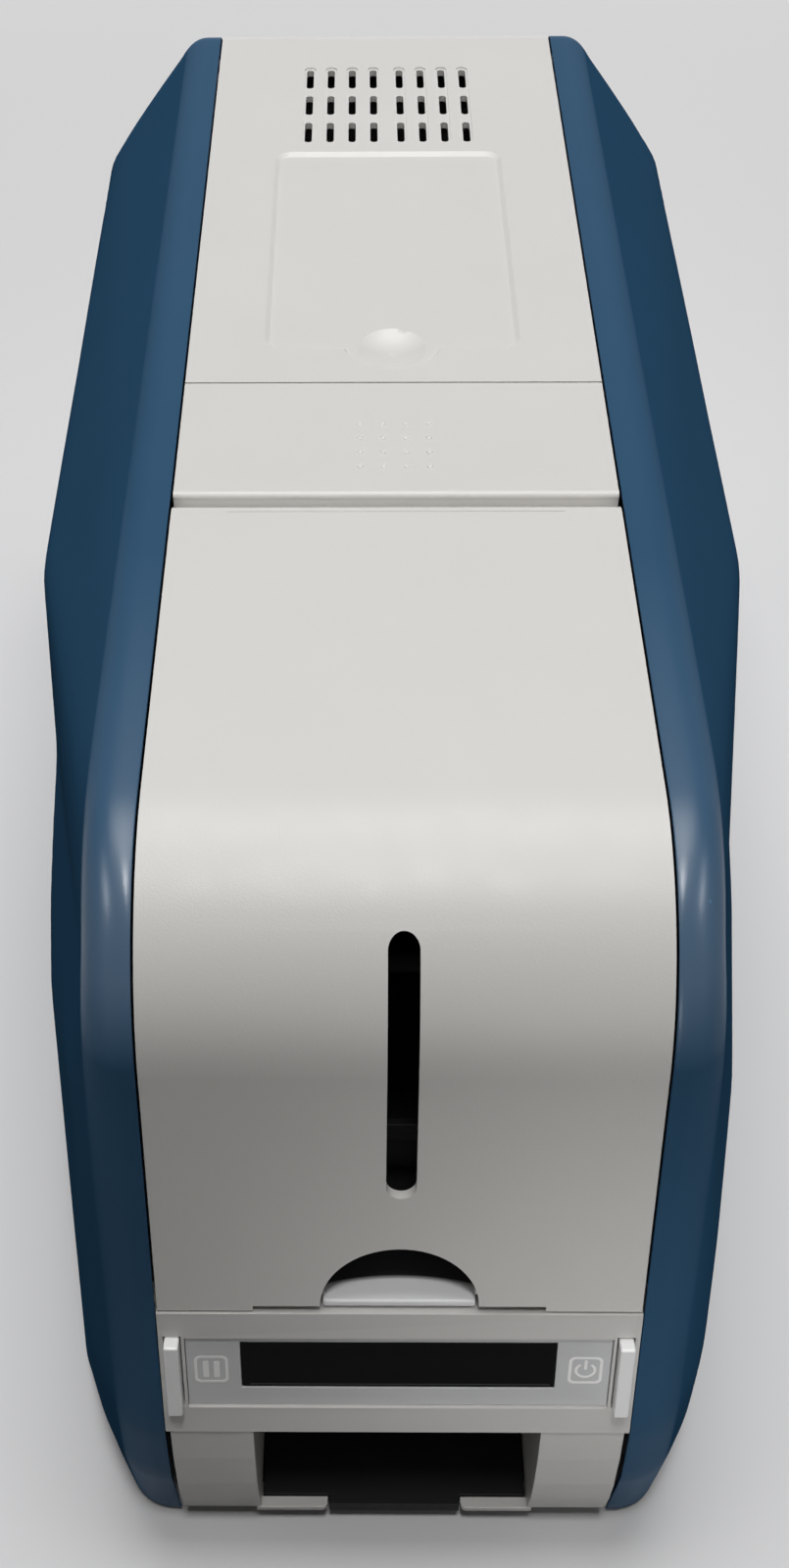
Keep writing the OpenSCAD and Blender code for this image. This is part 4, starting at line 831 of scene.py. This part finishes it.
PANEL_PROUD = 0.4
OVERLAY_SET = 0.8
OVERLAY_Z = PANEL_PROUD - OVERLAY_SET    # the overlay's face, out from the front plane
INK_LOW, INK_HIGH = OVERLAY_Z - 0.02, OVERLAY_Z + 0.05
ICON_X = 38.0
ICON_R = PANEL_TOP + 16.9
ICON_W, ICON_H, ICON_LINE = 6.9, 7.8, 0.6
ICON_RADII = (1.3, 0.9)
PAUSE_W, PAUSE_H, PAUSE_SOFT = 1.2, 4.7, 0.3
PAUSE_X = 1.1
POWER_RADII = (2.2, 1.65)
POWER_ARC = (125, 415)                # degrees, open at the top
STEM_W, STEM_H, STEM_SOFT = 0.6, 2.7, 0.25
STEM_Y = 1.6
LCD_R = PANEL_TOP + 15.6
LCD_W, LCD_H = 63.8, 13.2
EDGE_W, EDGE_H, EDGE_SOFT = LCD_W - 2.4, 0.14, 0.06   # a thin line along the display's lower edge
EDGE_AT = (0.4, 0.75 - LCD_H / 2)
EDGE_LOW, EDGE_HIGH = OVERLAY_Z - 0.22, OVERLAY_Z - 0.17


def icon(name, x, marks):
    """A symbol in a rounded frame, printed on the overlay."""
    bm = bmesh.new()
    frame_line = [rounded(ICON_W, ICON_H, ICON_RADII[0]),
                  rounded(ICON_W - 2 * ICON_LINE, ICON_H - 2 * ICON_LINE, ICON_RADII[1])]
    plate(bm, frame_line, INK_LOW, INK_HIGH)
    for mark in marks:
        plate(bm, [mark], INK_LOW, INK_HIGH)
    new_piece(name, bm, "casing", INK, on_front(ICON_R) @ Matrix.Translation((x * MM, 0, 0)))


pause_bars = [rounded(PAUSE_W, PAUSE_H, PAUSE_SOFT, at=(x, 0)) for x in (-PAUSE_X, PAUSE_X)]
power_stem = rounded(STEM_W, STEM_H, STEM_SOFT, at=(0, STEM_Y))
icon("pause_symbol", -ICON_X, pause_bars)
icon("power_symbol", ICON_X, [arc_band(*POWER_RADII, *POWER_ARC), power_stem])

bm = bmesh.new()
plate(bm, [rounded(EDGE_W, EDGE_H, EDGE_SOFT, at=EDGE_AT)], EDGE_LOW, EDGE_HIGH)
new_piece("display_edge", bm, "casing", LIB["grey_plastic"], on_front(LCD_R))


# ---------- rear screws ----------

SCREW_R, SCREW_H = 2.6, 1.5
SCREW_SUNK = 0.7
SCREW_X = (-40, 40)
SCREW_UP = (10, 174)                  # along the rear plane from its foot
DOME_RINGS, DOME_SIDES = 6, 24
DOME_FLAT = 0.92                      # less than 1 leaves a flat top for the recess
ARM_W, ARM_L = 0.35, 1.5              # half width and length of the recess's arms
RECESS_TOP, RECESS_LOW = 0.8, 0.55    # scales of the recess at its top and its bottom
RECESS_D = 0.9


def screw(bm, matrix):
    """A pan-head screw with a cross recess."""
    grid = []
    for i in range(DOME_RINGS + 1):
        t = i / DOME_RINGS * math.pi / 2
        radius, z = SCREW_R * math.cos(t * DOME_FLAT), SCREW_H * math.sin(t)
        grid.append([bm.verts.new(matrix @ Vector((radius * math.cos(a), radius * math.sin(a), z)))
                     for a in (2 * math.pi * k / DOME_SIDES for k in range(DOME_SIDES))])
    for lower, upper in zip(grid, grid[1:]):
        for k in range(DOME_SIDES):
            after = (k + 1) % DOME_SIDES
            bm.faces.new((lower[k], lower[after], upper[after], upper[k]))
    bm.faces.new(list(reversed(grid[0])))

    a, b = ARM_W, ARM_L
    cross = [(a, b), (a, a), (b, a), (b, -a), (a, -a), (a, -b),
             (-a, -b), (-a, -a), (-b, -a), (-b, a), (-a, a), (-a, b)]
    rim, low = ([bm.verts.new(matrix @ Vector((x * scale, y * scale, z))) for x, y in cross]
                for scale, z in ((RECESS_TOP, SCREW_H), (RECESS_LOW, SCREW_H - RECESS_D)))
    count = len(cross)
    edges = [bm.edges.new((rim[i], rim[(i + 1) % count])) for i in range(count)]
    top = grid[-1]
    edges += [bm.edges.get((top[k], top[(k + 1) % DOME_SIDES])) for k in range(DOME_SIDES)]
    bmesh.ops.triangle_fill(bm, use_beauty=True, edges=edges)
    for i in range(count):
        after = (i + 1) % count
        bm.faces.new((rim[i], rim[after], low[after], low[i]))
    bm.faces.new(low)


bm = bmesh.new()
for x in SCREW_X:
    for up in SCREW_UP:
        screw(bm, Matrix.Translation((x, up, -SCREW_SUNK)))
new_piece("rear_screws", bm, "casing", SCREW, on_rear(FOOT_Z))


# ---------- floor ----------

FLOOR_HALF = 4000
FLOOR_COLOR = (0.10, 0.10, 0.102)     # for the light that it throws back up
FLOOR_SEEN = (0.84, 0.84, 0.85)       # for the camera, reflections and glass
FLOOR_MOTTLE = (0.5, 0.5, 0.5)
FADE = (450, 1100)                    # distances over which the floor turns into the background

bm = bmesh.new()
bmesh.ops.create_grid(bm, x_segments=8, y_segments=8, size=FLOOR_HALF)
mesh = bpy.data.meshes.new("floor")
bm.transform(Matrix.Scale(MM, 4))
bm.to_mesh(mesh)
bm.free()
floor = bpy.data.objects.new("floor", mesh)
scene.collection.objects.link(floor)
floor_look = Shader("floor_paper", FLOOR_COLOR, 0.8, specular=0.1)
floor_look.tint(pale_ray(floor_look.tree), FLOOR_SEEN)
floor_look.tint(floor_look.remap(floor_look.noise(3, 3.0), *WIDE_NOISE, 0, 0.04), FLOOR_MOTTLE)
floor_look.fade_out(*FADE, PALE)
mesh.materials.append(floor_look.material)
